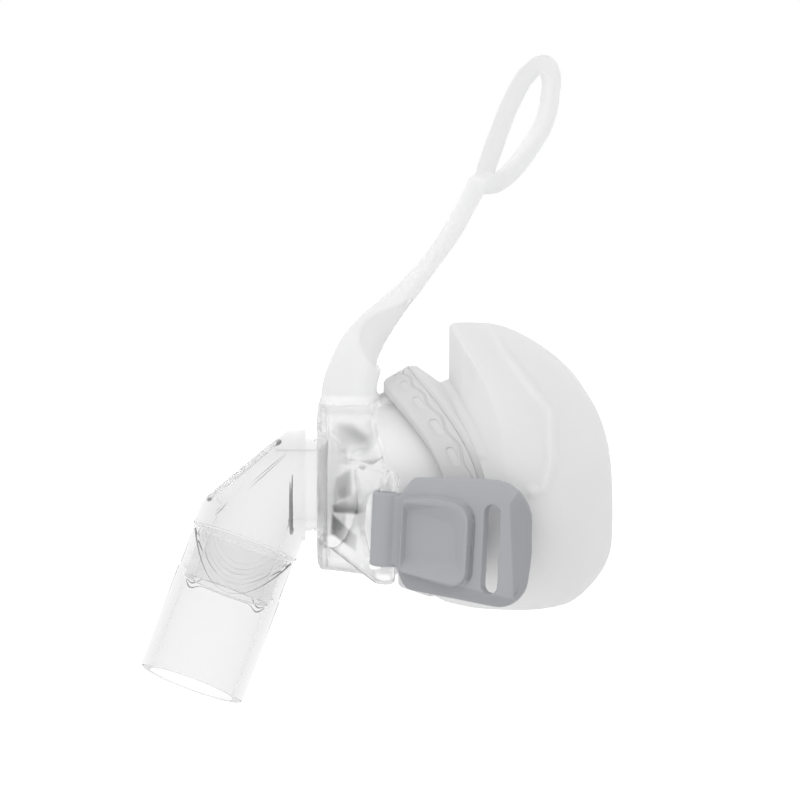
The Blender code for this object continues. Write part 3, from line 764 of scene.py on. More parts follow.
@dataclass(frozen=True)
class Finish:
    """A moulded finish. Sizes of its marks are in metres. Its shade is how much light its shadow passes. It
    may paint shade into its colour in patches.
    """

    # The colour that painted shade mixes into a finish
    DARK_FACET: ClassVar[Row] = (0.10, 0.10, 0.105, 1.0)

    name: str
    slot: str
    color: tuple[float, float, float]
    roughness: float
    variation: float = 0.0
    grain_size: float = 0.4 * MM
    grain_height: float = 0.0
    flow_size: float = 8.0 * MM
    flow_height: float = 0.0
    ior: float = 1.5
    transmission: float = 0.0
    absorption: float = 0.0
    subsurface: float = 0.0
    subsurface_depth: float = 2.0 * MM
    # The row of painted shade patches that darkens its colour, if any
    facets: Facets | None = None
    shade: float = 0.0

    def make(self, group: SurfaceGroup, facets: dict[Facets, FacetGroup]) -> bpy.types.Material:
        """Builds the material.

        Args:
            group: The node group of moulded surfaces.
            facets: The node group of each row of painted shade patches.

        Returns:
            The material.
        """
        made = bpy.data.materials.new(self.name)
        made.use_nodes = True
        wiring = Wiring(made.node_tree)
        shader = made.node_tree.nodes["Principled BSDF"]
        output = made.node_tree.nodes["Material Output"]
        marks = {
            "Color": (*self.color, 1.0),
            "Variation": self.variation,
            "Roughness": self.roughness,
            "Grain Size": self.grain_size,
            "Grain Height": self.grain_height,
            "Flow Size": self.flow_size,
            "Flow Height": self.flow_height,
        }
        surface = wiring.add("Group", marks, node_tree=group.tree).outputs
        looks = {
            "Base Color": marks["Color"],
            "Roughness": self.roughness,
            "Normal": surface["Normal"],
            "IOR": self.ior,
            "Transmission Weight": self.transmission,
            "Subsurface Weight": self.subsurface,
            "Subsurface Radius": (1.0, 1.0, 1.0),
            "Subsurface Scale": self.subsurface_depth,
        }
        wiring.fill(shader, looks)
        if self.variation:
            wiring.fill(shader, {"Base Color": surface["Color"], "Roughness": surface["Roughness"]})
        # Paints shade into the colour within the row's patches
        if self.facets:
            dark = wiring.add("Group", node_tree=facets[self.facets].tree).outputs["Mask"]
            plain = surface["Color"] if self.variation else marks["Color"]
            shaded_color = wiring.add("Mix", {"Factor": dark, "A": plain, "B": self.DARK_FACET}, data_type="RGBA")
            wiring.fill(shader, {"Base Color": shaded_color.outputs["Result"]})
        if self.absorption:
            depth = wiring.add("VolumeAbsorption", {"Color": grey(0.0), "Density": self.absorption})
            wiring.fill(output, {"Volume": depth.outputs[0]})
        if self.shade:
            passing = wiring.add("BsdfTransparent", {"Color": grey(self.shade)})
            shadow = wiring.add("LightPath").outputs["Is Shadow Ray"]
            mixed = wiring.add("MixShader", {"Fac": shadow, 1: shader.outputs[0], 2: passing.outputs[0]})
            wiring.fill(output, {"Surface": mixed.outputs[0]})
        return made


CLEAR = Finish(
    "clear_polycarbonate", "clear_polycarbonate", (0.94, 0.94, 0.94), 0.06,
    flow_size=9 * MM, flow_height=0.02 * MM, ior=1.012, transmission=0.94, absorption=15.0, shade=0.6,
)
# The frame's finish carries painted shade: dark refractions and the shadow under the stem
HAZY = Finish(
    "hazy_polycarbonate", "clear_polycarbonate", (0.985, 0.985, 0.987), 0.25,
    flow_size=11 * MM, flow_height=0.04 * MM, ior=1.12, transmission=0.88, shade=0.85, facets=Facets.FRAME,
)
CLOUDY = Finish(
    "cloudy_polycarbonate", "clear_polycarbonate", (0.915, 0.915, 0.917), 0.30,
    flow_size=14 * MM, flow_height=0.03 * MM, ior=1.04, transmission=0.60, shade=0.65,
)
SMOKE = Finish(
    "smoked_polycarbonate", "clear_polycarbonate", (0.30, 0.30, 0.31), 0.20,
    flow_size=6 * MM, flow_height=0.02 * MM,
)
MEMBRANE = Finish(
    "white_membrane", "silicone", (0.96, 0.96, 0.962), 0.35,
    grain_size=0.6 * MM, grain_height=0.003 * MM, flow_size=12 * MM, flow_height=0.04 * MM,
)
PALE = Finish(
    "pale_silicone", "silicone", (0.75, 0.745, 0.747), 0.45,
    grain_size=0.6 * MM, grain_height=0.003 * MM, flow_size=12 * MM, flow_height=0.04 * MM,
)
MILKY = Finish(
    "milky_ring", "milky_ring", (0.72, 0.71, 0.715), 0.35, variation=0.04,
    grain_height=0.004 * MM, flow_height=0.03 * MM, subsurface=0.4, subsurface_depth=2.5 * MM,
)
SILICONE = Finish(
    "milky_silicone", "silicone", (0.85, 0.85, 0.85), 0.42, variation=0.03,
    grain_size=0.6 * MM, grain_height=0.004 * MM, flow_size=14 * MM, flow_height=0.05 * MM,
    subsurface=0.7, subsurface_depth=5 * MM,
)
# The clips' finish carries painted shade on the plate's right and bottom margins
NYLON = Finish(
    "grey_nylon", "grey_nylon", (0.415, 0.42, 0.445), 0.42, variation=0.04,
    grain_size=0.25 * MM, grain_height=0.006 * MM, flow_size=12 * MM, flow_height=0.02 * MM,
    facets=Facets.CLIP,
)

FINISHES = (CLEAR, HAZY, CLOUDY, SMOKE, MEMBRANE, PALE, MILKY, SILICONE, NYLON)


def tapered_radii(count: int, radius: float, lead: float = 0.5, power: float = 1.0) -> list[float]:
    """Gives the radii of a bead that is thickest in its middle and runs out at both ends.

    Args:
        count: How many radii there are.
        radius: The radius in the middle.
        lead: How many steps before its first point the bead would run out.
        power: How fast it grows. Less than 1 is faster.

    Returns:
        The radii in order.
    """
    span = count + 2 * lead - 1
    return [radius * math.sin(math.pi * (i + lead) / span) ** power for i in range(count)]


@dataclass
class Workshop:
    """What every sub-assembly needs: the finishes, and a way to hand a piece over to the frame."""

    materials: dict[str, bpy.types.Material]

    def hand_over(
        self,
        piece: bpy.types.Object,
        finish: Finish,
        body: Body,
        replaced: str | None = None,
        upper: tuple[Finish, float] | None = None,
    ) -> bpy.types.Object:
        """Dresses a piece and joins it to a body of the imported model.

        Args:
            piece: The finished piece.
            finish: What it is made of.
            body: The body that it moves with.
            replaced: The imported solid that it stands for, if any.
            upper: What its upper part is made of, and the height at which that starts.

        Returns:
            The same piece.
        """
        piece.data.materials.clear()
        piece.data.materials.append(self.materials[finish.name])
        if upper:
            piece.data.materials.append(self.materials[upper[0].name])
            for face in piece.data.polygons:
                face.material_index = int(face.center.z > upper[1])
        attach(piece, body.value)
        if replaced:
            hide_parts(replaced)
        LOG.info("%s: %d faces, on %s", piece.name, len(piece.data.polygons), body.value)
        return piece


@dataclass
class Connector:
    """The elbow, its vent plate and the swivel tube, with the sizes that they share."""

    shop: Workshop
    steps: int = 128
    gap: float = 0.3 * MM
    turn_gap: float = 0.4 * MM
    edge: float = 0.2 * MM
    fine_edge: float = 0.1 * MM
    cut_overrun: float = 2.0 * MM
    neck_radius: float = 9.4 * MM
    neck_bore: float = 7.2 * MM
    neck_bead: float = 0.7 * MM
    neck_end_y: float = -43.7 * MM
    elbow_radius: float = 11.0 * MM
    flange_radius: float = 11.3 * MM
    flange_y: float = -52.0 * MM
    flange_width: float = 0.9 * MM
    flange_slope: float = 1.6
    flange_lead: float = 0.4 * MM
    cap_depth: float = 12.4 * MM
    tilt: float = math.radians(20.6)
    vent_tilt: float = math.radians(39.4)
    vent_distance: float = 5.7 * MM
    vent_shift: float = 1.6 * MM
    vent_length: float = 18.5 * MM
    vent_width: float = 14.2 * MM
    vent_thickness: float = 0.8 * MM
    vent_ledge: float = 1.2 * MM
    oval_steps: int = 96
    hole_radius: float = 0.4 * MM
    hole_rim: float = 0.68 * MM
    hole_pitch: float = 2.4 * MM
    spigot_radius: float = 9.1 * MM
    spigot_bore: float = 7.1 * MM
    spigot_length: float = 10.8 * MM
    spigot_bead: float = 0.6 * MM
    bead_depth: float = 9.0 * MM
    tube_radius: float = 11.0 * MM
    tube_length: float = 30.8 * MM
    tube_bore: float = 8.8 * MM
    stop_gap: float = 0.8 * MM

    # Arcs moulded in the tube's wall, in millimetres: how deep and how wide each hangs, its radius and
    # whether it is dark
    ARCS = (
        (9.5, 10.6, 0.17, True),
        (8.5, 9.6, 0.12, False),
        (7.5, 8.8, 0.10, False),
        (6.4, 7.9, 0.10, False),
        (5.2, 6.8, 0.08, False),
    )
    arc_radius: float = 10.25 * MM
    arc_start: float = 0.5 * MM
    arc_steps: int = 48
    arc_limit: float = 0.999
    # What is left of a dark arc's radius in its middle, and of a pale one's at its ends
    dark_middle: float = 0.15
    pale_end: float = 0.4

    # The spigot's lower rim, a fine bead with tabs
    rim_radius: float = 8.5 * MM
    rim_depth: float = 11.0 * MM
    rim_bead: float = 0.04 * MM
    rim_steps: int = 144
    tab_length: float = 1.3 * MM
    tab_middle: float = 7.2 * MM
    tab_width: float = 1.3 * MM
    tab_bead: float = 0.10 * MM

    # The dark seam below the neck, which runs from the first angle by the second, in degrees
    seam_y: float = -54.9 * MM
    seam_radius: float = 9.9 * MM
    seam_bead: float = 0.32 * MM
    seam_turn: tuple[float, float] = (8.0, -196.0)
    seam_steps: int = 60

    # The seams at the vent plate's ends: the angle of each one's middle, and how far both reach, in degrees
    VENT_SEAMS = {"upper": 90, "lower": 270}
    vent_seam_reach: float = 26.0
    vent_seam_depth: float = 0.7 * MM
    vent_seam_bead: float = 0.5 * MM
    vent_seam_steps: int = 16

    # Fine lines where the vent's window runs into the bore, each from one end to the other
    WINDOW_LINES = {
        "window_line": ((0.0, -0.0635, -0.0004), (0.0, -0.0559, 0.0063)),
        "corner_line": ((0.0, -0.0704, -0.0059), (0.0, -0.0682, -0.0041)),
    }
    line_radius: float = 7.4 * MM
    line_bead: float = 0.06 * MM
    line_steps: int = 8

    # The shallow groove round the neck, as Y and depth in millimetres
    NECK_GROOVE = ((-50.8, 0.0), (-50.6, 0.3), (-50.2, 0.3), (-50.0, 0.0))
    # The neck's bead: the share of its height, and the distance behind its front in millimetres
    NECK_BEAD = ((0.0, -0.3), (1.0, 0.0), (1.0, 0.6), (0.0, 1.2))
    # The collar between elbow and tube: how far it stands out, and its height, in millimetres
    COLLAR = ((0.1, 0.6), (0.2, 0.45), (0.2, 0.15), (0.1, 0.0))
    # The tube's lower edge, outside and inside: how far in from its wall's face, and how high, in millimetres
    FOOT_OUTSIDE = ((0.0, 0.4), (0.15, 0.1), (0.3, 0.0))
    FOOT_INSIDE = ((0.3, 0.0), (0.0, 0.4))
    # The rim round a hole: the share of its radius, and its height in millimetres
    HOLE_RIM = ((0.0, -0.3), (1.0, -0.3), (0.8, 0.15), (0.0, 0.15))
    # How many holes each row of the vent plate has on each side of its middle one
    HOLE_ROWS = {-1: 2, 0: 3, 1: 2}

    @property
    def vertex(self) -> Vector:
        """Where the elbow's two legs meet on its middle line."""
        half_turn = (math.pi / 2 - self.tilt) / 2
        return Vector((0.0, self.flange_y - self.flange_lead - self.elbow_radius * math.tan(half_turn), 0.0))

    @property
    def down(self) -> Vector:
        """The way down the tube."""
        return Vector((0.0, -math.sin(self.tilt), -math.cos(self.tilt)))

    @property
    def tube_place(self) -> Matrix:
        """Local Z up the tube, from the elbow's lower end."""
        cap = self.vertex + self.down * self.cap_depth
        return Matrix.Translation(cap) @ Matrix.Rotation(-self.tilt, 4, "X")

    @property
    def neck_place(self) -> Matrix:
        """Local Z to the rear along the socket's axis."""
        return Matrix.Rotation(-math.pi / 2, 4, "X")

    @property
    def vent_place(self) -> Matrix:
        """Local Z out of the slanted face and local Y up the slope.

        Returns:
            The place.
        """
        normal = Vector((0.0, -math.sin(self.vent_tilt), math.cos(self.vent_tilt)))
        slope = Vector((0.0, math.cos(self.vent_tilt), math.sin(self.vent_tilt)))
        place = Matrix((Vector((1.0, 0.0, 0.0)), slope, normal)).transposed().to_4x4()
        place.translation = self.vertex + normal * self.vent_distance - slope * self.vent_shift
        return place

    def legs(self, radius: float, lower_radius: float, neck_y: float, overrun: float) -> list[list[Vector]]:
        """Finds circles at the elbow's two ends and the ellipse where its legs meet.

        Args:
            radius: The upper leg's radius.
            lower_radius: The lower leg's radius.
            neck_y: Where the upper leg ends.
            overrun: How far the lower leg runs past the elbow's lower end.

        Returns:
            The three loops, from the neck down.
        """
        back = Vector((0.0, 1.0, 0.0))
        fold = (back - self.down).normalized()
        lower_up = Vector((0.0, -math.cos(self.tilt), math.sin(self.tilt)))
        foot = self.vertex + self.down * (self.cap_depth + overrun)
        neck, mitre, cap = [], [], []
        for angle in turns_of(self.steps):
            x, z = math.sin(angle), math.cos(angle)
            start = Vector((x * radius, neck_y, z * radius))
            neck.append(start)
            mitre.append(start - back * ((start - self.vertex).dot(fold) / back.dot(fold)))
            cap.append(foot + Vector((x * lower_radius, 0.0, 0.0)) + lower_up * (z * lower_radius))
        return [neck, mitre, cap]

    def oval(self, name: str, margin: float, low: float, high: float) -> bpy.types.Object:
        """Makes an oval disc in the slanted face, larger than the vent plate by the margin.

        Args:
            name: The object's name.
            margin: How much larger it is.
            low: The height of its lower face, above the vent plate's outer face.
            high: The height of its upper face.

        Returns:
            The disc.
        """
        half_width, half_length = self.vent_width / 2 + margin, self.vent_length / 2 + margin
        turns = turns_of(self.oval_steps)
        loops = [ellipse(half_width, half_length, height, turns) for height in (low, high)]
        return loft(name, loops, matrix=self.vent_place)

    def build_elbow(self) -> None:
        """Builds the elbow with its neck, its spigot and the seat of its vent plate."""
        outside = self.legs(self.elbow_radius, self.elbow_radius, self.flange_y - self.gap, -self.gap)
        elbow = loft("elbow_body", outside)
        radius, bead, end = self.neck_radius, self.neck_bead, self.neck_end_y
        neck_profile = (
            (0.0, self.flange_y - 2 * self.flange_width),
            (self.elbow_radius, self.flange_y - self.flange_slope * self.flange_width),
            (self.flange_radius, self.flange_y - self.flange_width),
            (self.flange_radius, self.flange_y - self.fine_edge),
            (self.flange_radius - self.fine_edge, self.flange_y),
            (radius, self.flange_y),
            *((radius - depth * MM, y * MM) for y, depth in self.NECK_GROOVE),
            *((radius + share * bead, end + step * MM) for share, step in self.NECK_BEAD),
            (0.0, end + self.NECK_BEAD[-1][1] * MM),
        )
        neck = lathe("neck", neck_profile, self.neck_place, self.steps)
        spigot_profile = (
            (0.0, self.COLLAR[0][1] * MM),
            *((self.elbow_radius + out * MM, height * MM) for out, height in self.COLLAR),
            (self.spigot_radius, 0.0),
            (self.spigot_radius, self.spigot_bead - self.bead_depth),
            (self.spigot_radius + self.spigot_bead, -self.bead_depth),
            (self.spigot_radius, -self.spigot_bead - self.bead_depth),
            (self.spigot_radius, self.edge - self.spigot_length),
            (self.spigot_radius - self.edge, -self.spigot_length),
            (0.0, -self.spigot_length),
        )
        spigot = lathe("spigot", spigot_profile, self.tube_place, self.steps)
        combine(elbow, (neck, spigot), Join.ADD, Solver.MANIFOLD)
        overrun = self.cut_overrun
        inside = self.legs(self.neck_bore, self.spigot_bore, end + 2 * overrun, self.spigot_length + overrun)
        reach = 4 * self.elbow_radius
        corners = ((-reach, 0.0), (reach, 0.0), (reach, reach), (-reach, reach))
        slope = prism("slope", [Vector(corner) for corner in corners], -reach, reach, self.vent_place)
        seat = self.oval("seat", self.gap, -self.vent_thickness - self.gap, MM)
        window = self.oval("window", -self.vent_ledge, -self.vent_distance - self.vent_thickness, MM)
        combine(elbow, (loft("bore", inside), slope, seat, window), Join.CUT, Solver.MANIFOLD)
        soften(elbow)
        self.shop.hand_over(elbow, CLEAR, Body.ELBOW, "elbow")

    def build_vent(self) -> None:
        """Builds the vent plate, with a low rim round each of its fine holes."""
        cover = self.oval("vent_plate", 0.0, -self.vent_thickness, 0.0)
        depth, radius = 2 * self.vent_thickness, self.hole_rim
        rim_profile = [(share * radius, height * MM) for share, height in self.HOLE_RIM]
        rims, holes = [], []
        for row, last in self.HOLE_ROWS.items():
            for column in range(-last, last + 1):
                shift = Matrix.Translation((row * self.hole_pitch, column * self.hole_pitch, 0.0))
                rims.append(lathe("rim", rim_profile, self.vent_place @ shift, steps=20))
                holes.append(rod("hole", self.hole_radius, depth, self.vent_place @ shift, steps=16))
        combine(cover, rims, Join.ADD, Solver.MANIFOLD)
        combine(cover, holes, Join.CUT, Solver.MANIFOLD)
        soften(cover)
        self.shop.hand_over(cover, HAZY, Body.ELBOW, "vent_cover")

    def build_tube(self) -> None:
        """Builds the swivel tube, whose groove turns on the spigot's bead."""
        socket = self.spigot_radius + self.turn_gap
        top = -self.turn_gap
        foot = top - self.tube_length
        bead = self.spigot_bead + self.turn_gap
        radius, bore = self.tube_radius, self.tube_bore
        profile = (
            (radius - 2 * self.edge, top),
            (radius - self.edge, top - self.edge),
            (radius - self.edge, -self.bead_depth),
            (radius, -self.bead_depth - 2 * self.edge),
            *((radius - inwards * MM, foot + step * MM) for inwards, step in self.FOOT_OUTSIDE),
            *((bore + outwards * MM, foot + step * MM) for outwards, step in self.FOOT_INSIDE),
            (bore, -self.spigot_length - 2 * self.stop_gap),
            (socket, -self.spigot_length - self.stop_gap),
            (socket, -bead - self.bead_depth),
            (socket + self.spigot_bead, -self.bead_depth),
            (socket, bead - self.bead_depth),
            (socket, top),
        )
        tube = lathe("tube_body", profile, self.tube_place, self.steps)
        soften(tube)
        self.shop.hand_over(tube, CLEAR, Body.TUBE, "swivel_tube")

    def build_arcs(self) -> None:
        """Builds the arcs in the tube's wall, which hang from its top on both sides."""
        for side in Side:
            for i, (depth, half_width, radius, dark) in enumerate(self.ARCS):
                path, radii = [], []
                limit = min(half_width * MM / self.arc_radius, self.arc_limit)
                for step in range(self.arc_steps + 1):
                    share = 2 * step / self.arc_steps - 1
                    across = self.arc_radius * limit * share
                    out = math.sqrt(self.arc_radius**2 - across**2)
                    hang = depth * MM * (1 - (across / (half_width * MM)) ** 2)
                    path.append(self.tube_place @ Vector((side.value * out, across, -self.arc_start - hang)))
                    if dark:
                        thickness = self.dark_middle + (1 - self.dark_middle) * share**2
                    else:
                        thickness = 1.0 - (1 - self.pale_end) * abs(share)
                    radii.append(radius * MM * thickness)
                arc = wire(f"{side.word}_arc_{i}", path, radii)
                self.shop.hand_over(arc, SMOKE if dark else HAZY, Body.TUBE)

    def build_rim(self) -> None:
        """Builds the spigot's lower rim, which has two short tabs on each side."""
        path, radii = [], []
        for turn in turns_of(self.rim_steps):
            across = self.rim_radius * math.sin(turn)
            tab = math.exp(-(((abs(across) - self.tab_middle) / self.tab_width) ** 2))
            height = -self.rim_depth - self.tab_length * tab
            path.append(self.tube_place @ Vector((self.rim_radius * math.cos(turn), across, height)))
            radii.append(self.rim_bead + self.tab_bead * tab)
        self.shop.hand_over(wire("spigot_rim", path, radii, closed=True), SMOKE, Body.ELBOW)

    def build_neck_seam(self) -> None:
        """Builds the dark seam below the elbow's neck."""
        path = []
        first, swing = self.seam_turn
        for i in range(self.seam_steps + 1):
            turn = math.radians(first + swing * i / self.seam_steps)
            across, height = self.seam_radius * math.cos(turn), self.seam_radius * math.sin(turn)
            path.append(Vector((across, self.seam_y, height)))
        radii = tapered_radii(len(path), self.seam_bead, lead=1.0, power=0.5)
        self.shop.hand_over(wire("neck_seam", path, radii), SMOKE, Body.ELBOW)

    def build_window_lines(self) -> None:
        """Builds the fine lines where the vent's window runs into the bore."""
        for side in Side:
            for name, ends in self.WINDOW_LINES.items():
                start, end = (Vector(place) for place in ends)
                path = [start.lerp(end, i / self.line_steps) for i in range(self.line_steps + 1)]
                for point in path:
                    point.x = side.value * math.sqrt(self.line_radius**2 - point.z**2)
                radii = tapered_radii(len(path), self.line_bead)
                self.shop.hand_over(wire(f"{side.word}_{name}", path, radii), SMOKE, Body.ELBOW)

    def build_vent_seams(self) -> None:
        """Builds the dark seams at the vent plate's two ends."""
        steps, reach = self.vent_seam_steps, self.vent_seam_reach
        for name, middle in self.VENT_SEAMS.items():
            turns = [math.radians(middle - reach + 2 * reach * i / steps) for i in range(steps + 1)]
            path = ellipse(self.vent_width / 2, self.vent_length / 2, -self.vent_seam_depth, turns)
            radii = tapered_radii(len(path), self.vent_seam_bead)
            seam = wire(f"{name}_vent_seam", [self.vent_place @ point for point in path], radii)
            self.shop.hand_over(seam, SMOKE, Body.ELBOW)

    def build(self) -> None:
        """Builds the three clear pieces and what shows inside them."""
        self.build_elbow()
        self.build_vent()
        self.build_tube()
        self.build_arcs()
        self.build_rim()
        self.build_neck_seam()
        self.build_window_lines()
        self.build_vent_seams()


@dataclass
class PostPlace:
    """Where a clip's post stands, and how it and the plates beside it lean."""

    x: float = 27.0 * MM
    y: float = -35.2 * MM
    z: float = -6.7 * MM
    lean: float = math.radians(3.0)
    wing_flare: float = math.radians(38.0)
    clip_flare: float = math.radians(24.0)
    radius: float = 1.7 * MM
    sleeve_half_height: float = 7.4 * MM

    def matrix(self, side: Side, flare: float) -> Matrix:
        """Gives local X outwards, Y to the rear along a plate and Z up the post."""
        place = Matrix.Translation((side.value * self.x, self.y, self.z))
        return place @ Matrix.Rotation(-side.value * flare, 4, "Z") @ Matrix.Rotation(-self.lean, 4, "X")


@dataclass
class ClearFrame:
    """The clear frame: shell, socket, forehead stem with its loops, wings and posts."""

    shop: Workshop
    post: PostPlace
    hoop_points: int = 144
    wall: float = 1.9 * MM
    gap: float = 0.3 * MM
    ring_wall: float = 2.2 * MM
    front_y: float = -49.4 * MM
    socket_end_y: float = -44.4 * MM
    socket_wall: float = 1.6 * MM
    socket_bore: float = 9.8 * MM
    mouth_step: float = 0.3 * MM
    cloudy_from: float = 17.2 * MM
    wing_thickness: float = 2.4 * MM
    lug_length: float = 3.4 * MM
    shoulder_thickness: float = 2.6 * MM
    channel_overrun: float = 4.0 * MM
    wing_bevel: float = 0.45 * MM
    post_end: float = 0.4 * MM
    voxel: float = 0.42 * MM
    melt_passes: int = 10

    # The shell's hoops from the socket's mouth to the ring
    SHELL = (
        Hoop(0.0172, 0.0160, -0.0154, -0.0494, -0.0494, -0.0494, 2.7),
        Hoop(0.0186, 0.0174, -0.0168, -0.0490, -0.0490, -0.0490, 2.7),
        Hoop(0.0191, 0.0177, -0.0171, -0.0482, -0.0482, -0.0482, 2.7),
        Hoop(0.0192, 0.0178, -0.0172, -0.0466, -0.0466, -0.0466, 2.7),
        Hoop(0.0198, 0.0175, -0.0177, -0.0425, -0.0420, -0.0425, 2.6),
        Hoop(0.0210, 0.0174, -0.0182, -0.0395, -0.0350, -0.0390, 2.4),
    )
    # Front and rear point of each section in the plane X = 0, and its width
    STEM = (
        (-0.0484, 0.0120, -0.0385, 0.0110, 0.0316),
        (-0.0486, 0.0158, -0.0372, 0.0158, 0.0270),
        (-0.0485, 0.0202, -0.0374, 0.0198, 0.0246),
        (-0.0471, 0.0248, -0.0365, 0.0236, 0.0222),
        (-0.0446, 0.0298, -0.0354, 0.0271, 0.0200),
        (-0.0408, 0.0344, -0.0337, 0.0308, 0.0180),
        (-0.0360, 0.0383, -0.0315, 0.0346, 0.0162),
        (-0.0312, 0.0427, -0.0283, 0.0398, 0.0146),
        (-0.0274, 0.0471, -0.0241, 0.0456, 0.0132),
        (-0.0240, 0.0522, -0.0203, 0.0509, 0.0122),
        (-0.0208, 0.0578, -0.0172, 0.0566, 0.0116),
        (-0.0182, 0.0632, -0.0142, 0.0618, 0.0124),
    )
    CHANNEL_ROWS = slice(3, 8)
    # How many points each kind of section has, and its squareness
    STEM_SECTION = (40, 3.2)
    SHOULDER_SECTION = (24, 2.4)
    LOOP_SECTION = (24, 3.0)
    # Middle and width of the band from the stem down the side of the shell to the upper lug
    SHOULDER = (
        (0.0080, -0.0432, 0.0194, 0.0100),
        (0.0122, -0.0428, 0.0158, 0.0090),
        (0.0172, -0.0416, 0.0120, 0.0078),
        (0.0198, -0.0396, 0.0084, 0.0066),
        (0.0226, -0.0380, 0.0052, 0.0054),
        (0.0254, -0.0368, 0.0026, 0.0046),
    )
    # Width and thickness of a strap loop, at its inner and at its outer limb
    LOOP_INNER = (4.2 * MM, 3.4 * MM)
    LOOP_OUTER = (3.7 * MM, 2.2 * MM)
    # The left loop's middle line: up its front limb, over the top and down its outer limb
    LOOP = (
        (0.0032, -0.0152, 0.0640),
        (0.0042, -0.0134, 0.0694),
        (0.0056, -0.0107, 0.0766),
        (0.0078, -0.0076, 0.0826),
        (0.0110, -0.0042, 0.0857),
        (0.0142, -0.0021, 0.0838),
        (0.0162, -0.0022, 0.0792),
        (0.0168, -0.0032, 0.0742),
        (0.0158, -0.0060, 0.0692),
        (0.0124, -0.0097, 0.0643),
        (0.0078, -0.0130, 0.0618),
        (0.0040, -0.0153, 0.0616),
    )
    # Corners of a wing, u to the rear and v up, each with its radius
    WING = (
        ((-0.0155, 0.0125), 0.0002),
        ((-0.0060, 0.0122), 0.0060),
        ((0.0020, 0.0113), 0.0012),
        ((0.0020, 0.0079), 0.0003),
        ((-0.0028, 0.0079), 0.0010),
        ((-0.0052, 0.0062), 0.0020),
        ((-0.0063, 0.0034), 0.0030),
        ((-0.0063, -0.0012), 0.0030),
        ((-0.0036, -0.0079), 0.0014),
        ((0.0020, -0.0079), 0.0003),
        ((0.0020, -0.0111), 0.0012),
        ((-0.0016, -0.0113), 0.0020),
        ((-0.0062, -0.0092), 0.0030),
        ((-0.0155, -0.0046), 0.0002),
    )

    def skin(self) -> list[Hoop]:
        """Gives the hoops of the shell's outside.

        Returns:
            The hoops, from the shell's front to the skirt inside the ring.
        """
        ring_inside = self.ring_wall + self.gap
        skirt = (RING_FRONT.inset(ring_inside), RING_MIDDLE.inset(ring_inside))
        return smooth_hoops((*self.SHELL, *skirt), steps=6)

    def shell(self) -> bpy.types.Object:
        """Makes the shell from the socket's mouth to the skirt inside the ring.

        Returns:
            The open shell, with its wall.
        """
        rim = self.socket_bore + self.socket_wall / 2
        mouth = Hoop(rim, rim, -rim, self.front_y, self.front_y, self.front_y, 2.0)
        loops = [hoop.points(self.hoop_points) for hoop in (mouth, *self.skin())]
        shell = loft("frame_body", loops, caps=False)
        thicken(shell, self.wall)
        return shell

    def core(self) -> bpy.types.Object:
        """Makes the solid inside the shell, out to the middle of its wall."""
        return loft("core", [hoop.inset(self.wall / 2).points(self.hoop_points) for hoop in self.skin()])

    def socket(self) -> bpy.types.Object:
        """Makes the round socket that the elbow's neck turns in.

        Returns:
            The socket.
        """
        bore, front = self.socket_bore, self.front_y + self.mouth_step
        profile = (
            (bore + self.socket_wall, self.socket_end_y),
            (bore + self.socket_wall, front),
            (bore, front),
            (bore, self.socket_end_y),
        )
        return lathe("socket", profile, Matrix.Rotation(-math.pi / 2, 4, "X"))

    def stem_sections(
        self, rows: Sequence[Row], inset: float = 0.0, floor: float = 0.0, rear_extra: float = 0.0
    ) -> list[list[Vector]]:
        """Finds rounded sections of the stem, or of the channel in its rear.

        Args:
            rows: Front and rear point of each section, and its width.
            inset: How far inside the stem's outside the section lies.
            floor: How much further its front lies to the rear.
            rear_extra: How far it runs out of the stem's rear.

        Returns:
            The sections.
        """
        across = Vector((1.0, 0.0, 0.0))
        found = []
        for front_y, front_z, rear_y, rear_z, width in rows:
            front, rear = Vector((0.0, front_y, front_z)), Vector((0.0, rear_y, rear_z))
            back = (rear - front).normalized()
            front += back * (inset + floor)
            rear += back * rear_extra
            centre, depth = (front + rear) / 2, (rear - front).length
            found.append(rounded_section(centre, across, back, width - 2 * inset, depth, *self.STEM_SECTION))
        return found

    def channel_sections(self) -> list[list[Vector]]:
        """Finds the channel's sections. It is deepest in the middle and runs out at both ends.

        Returns:
            The sections in order.
        """
        rows = smooth_rows(self.STEM[self.CHANNEL_ROWS], steps=6)
        found = []
        for i, row in enumerate(rows):
            along = 2 * i / (len(rows) - 1) - 1
            depth = math.hypot(row[2] - row[0], row[3] - row[1])
            floor = (depth - self.wall + self.gap) * along**2
            found += self.stem_sections([row], self.wall, floor, self.channel_overrun)
        return found

    def shoulder_sections(self, side: Side) -> list[list[Vector]]:
        """Finds the sections of a shoulder, which turns to lie in line with the wing at its lower end.

        Args:
            side: The wearer's left or right.

        Returns:
            The sections in order.
        """
        rows = smooth_rows(self.SHOULDER, steps=5)
        centres = [Vector((side.value * x, y, z)) for x, y, z, _ in rows]
        found = []
        for i, (row, centre) in enumerate(zip(rows, centres)):
            tangent = neighbour_span(centres, i).normalized()
            turn = self.post.wing_flare * i / (len(centres) - 1)
            back = Vector((side.value * math.sin(turn), math.cos(turn), 0.0))
            across = tangent.cross(back).normalized()
            along = across.cross(tangent).normalized()
            sizes = (row[3], self.shoulder_thickness)
            found.append(rounded_section(centre, along, across, *sizes, *self.SHOULDER_SECTION))
        return found

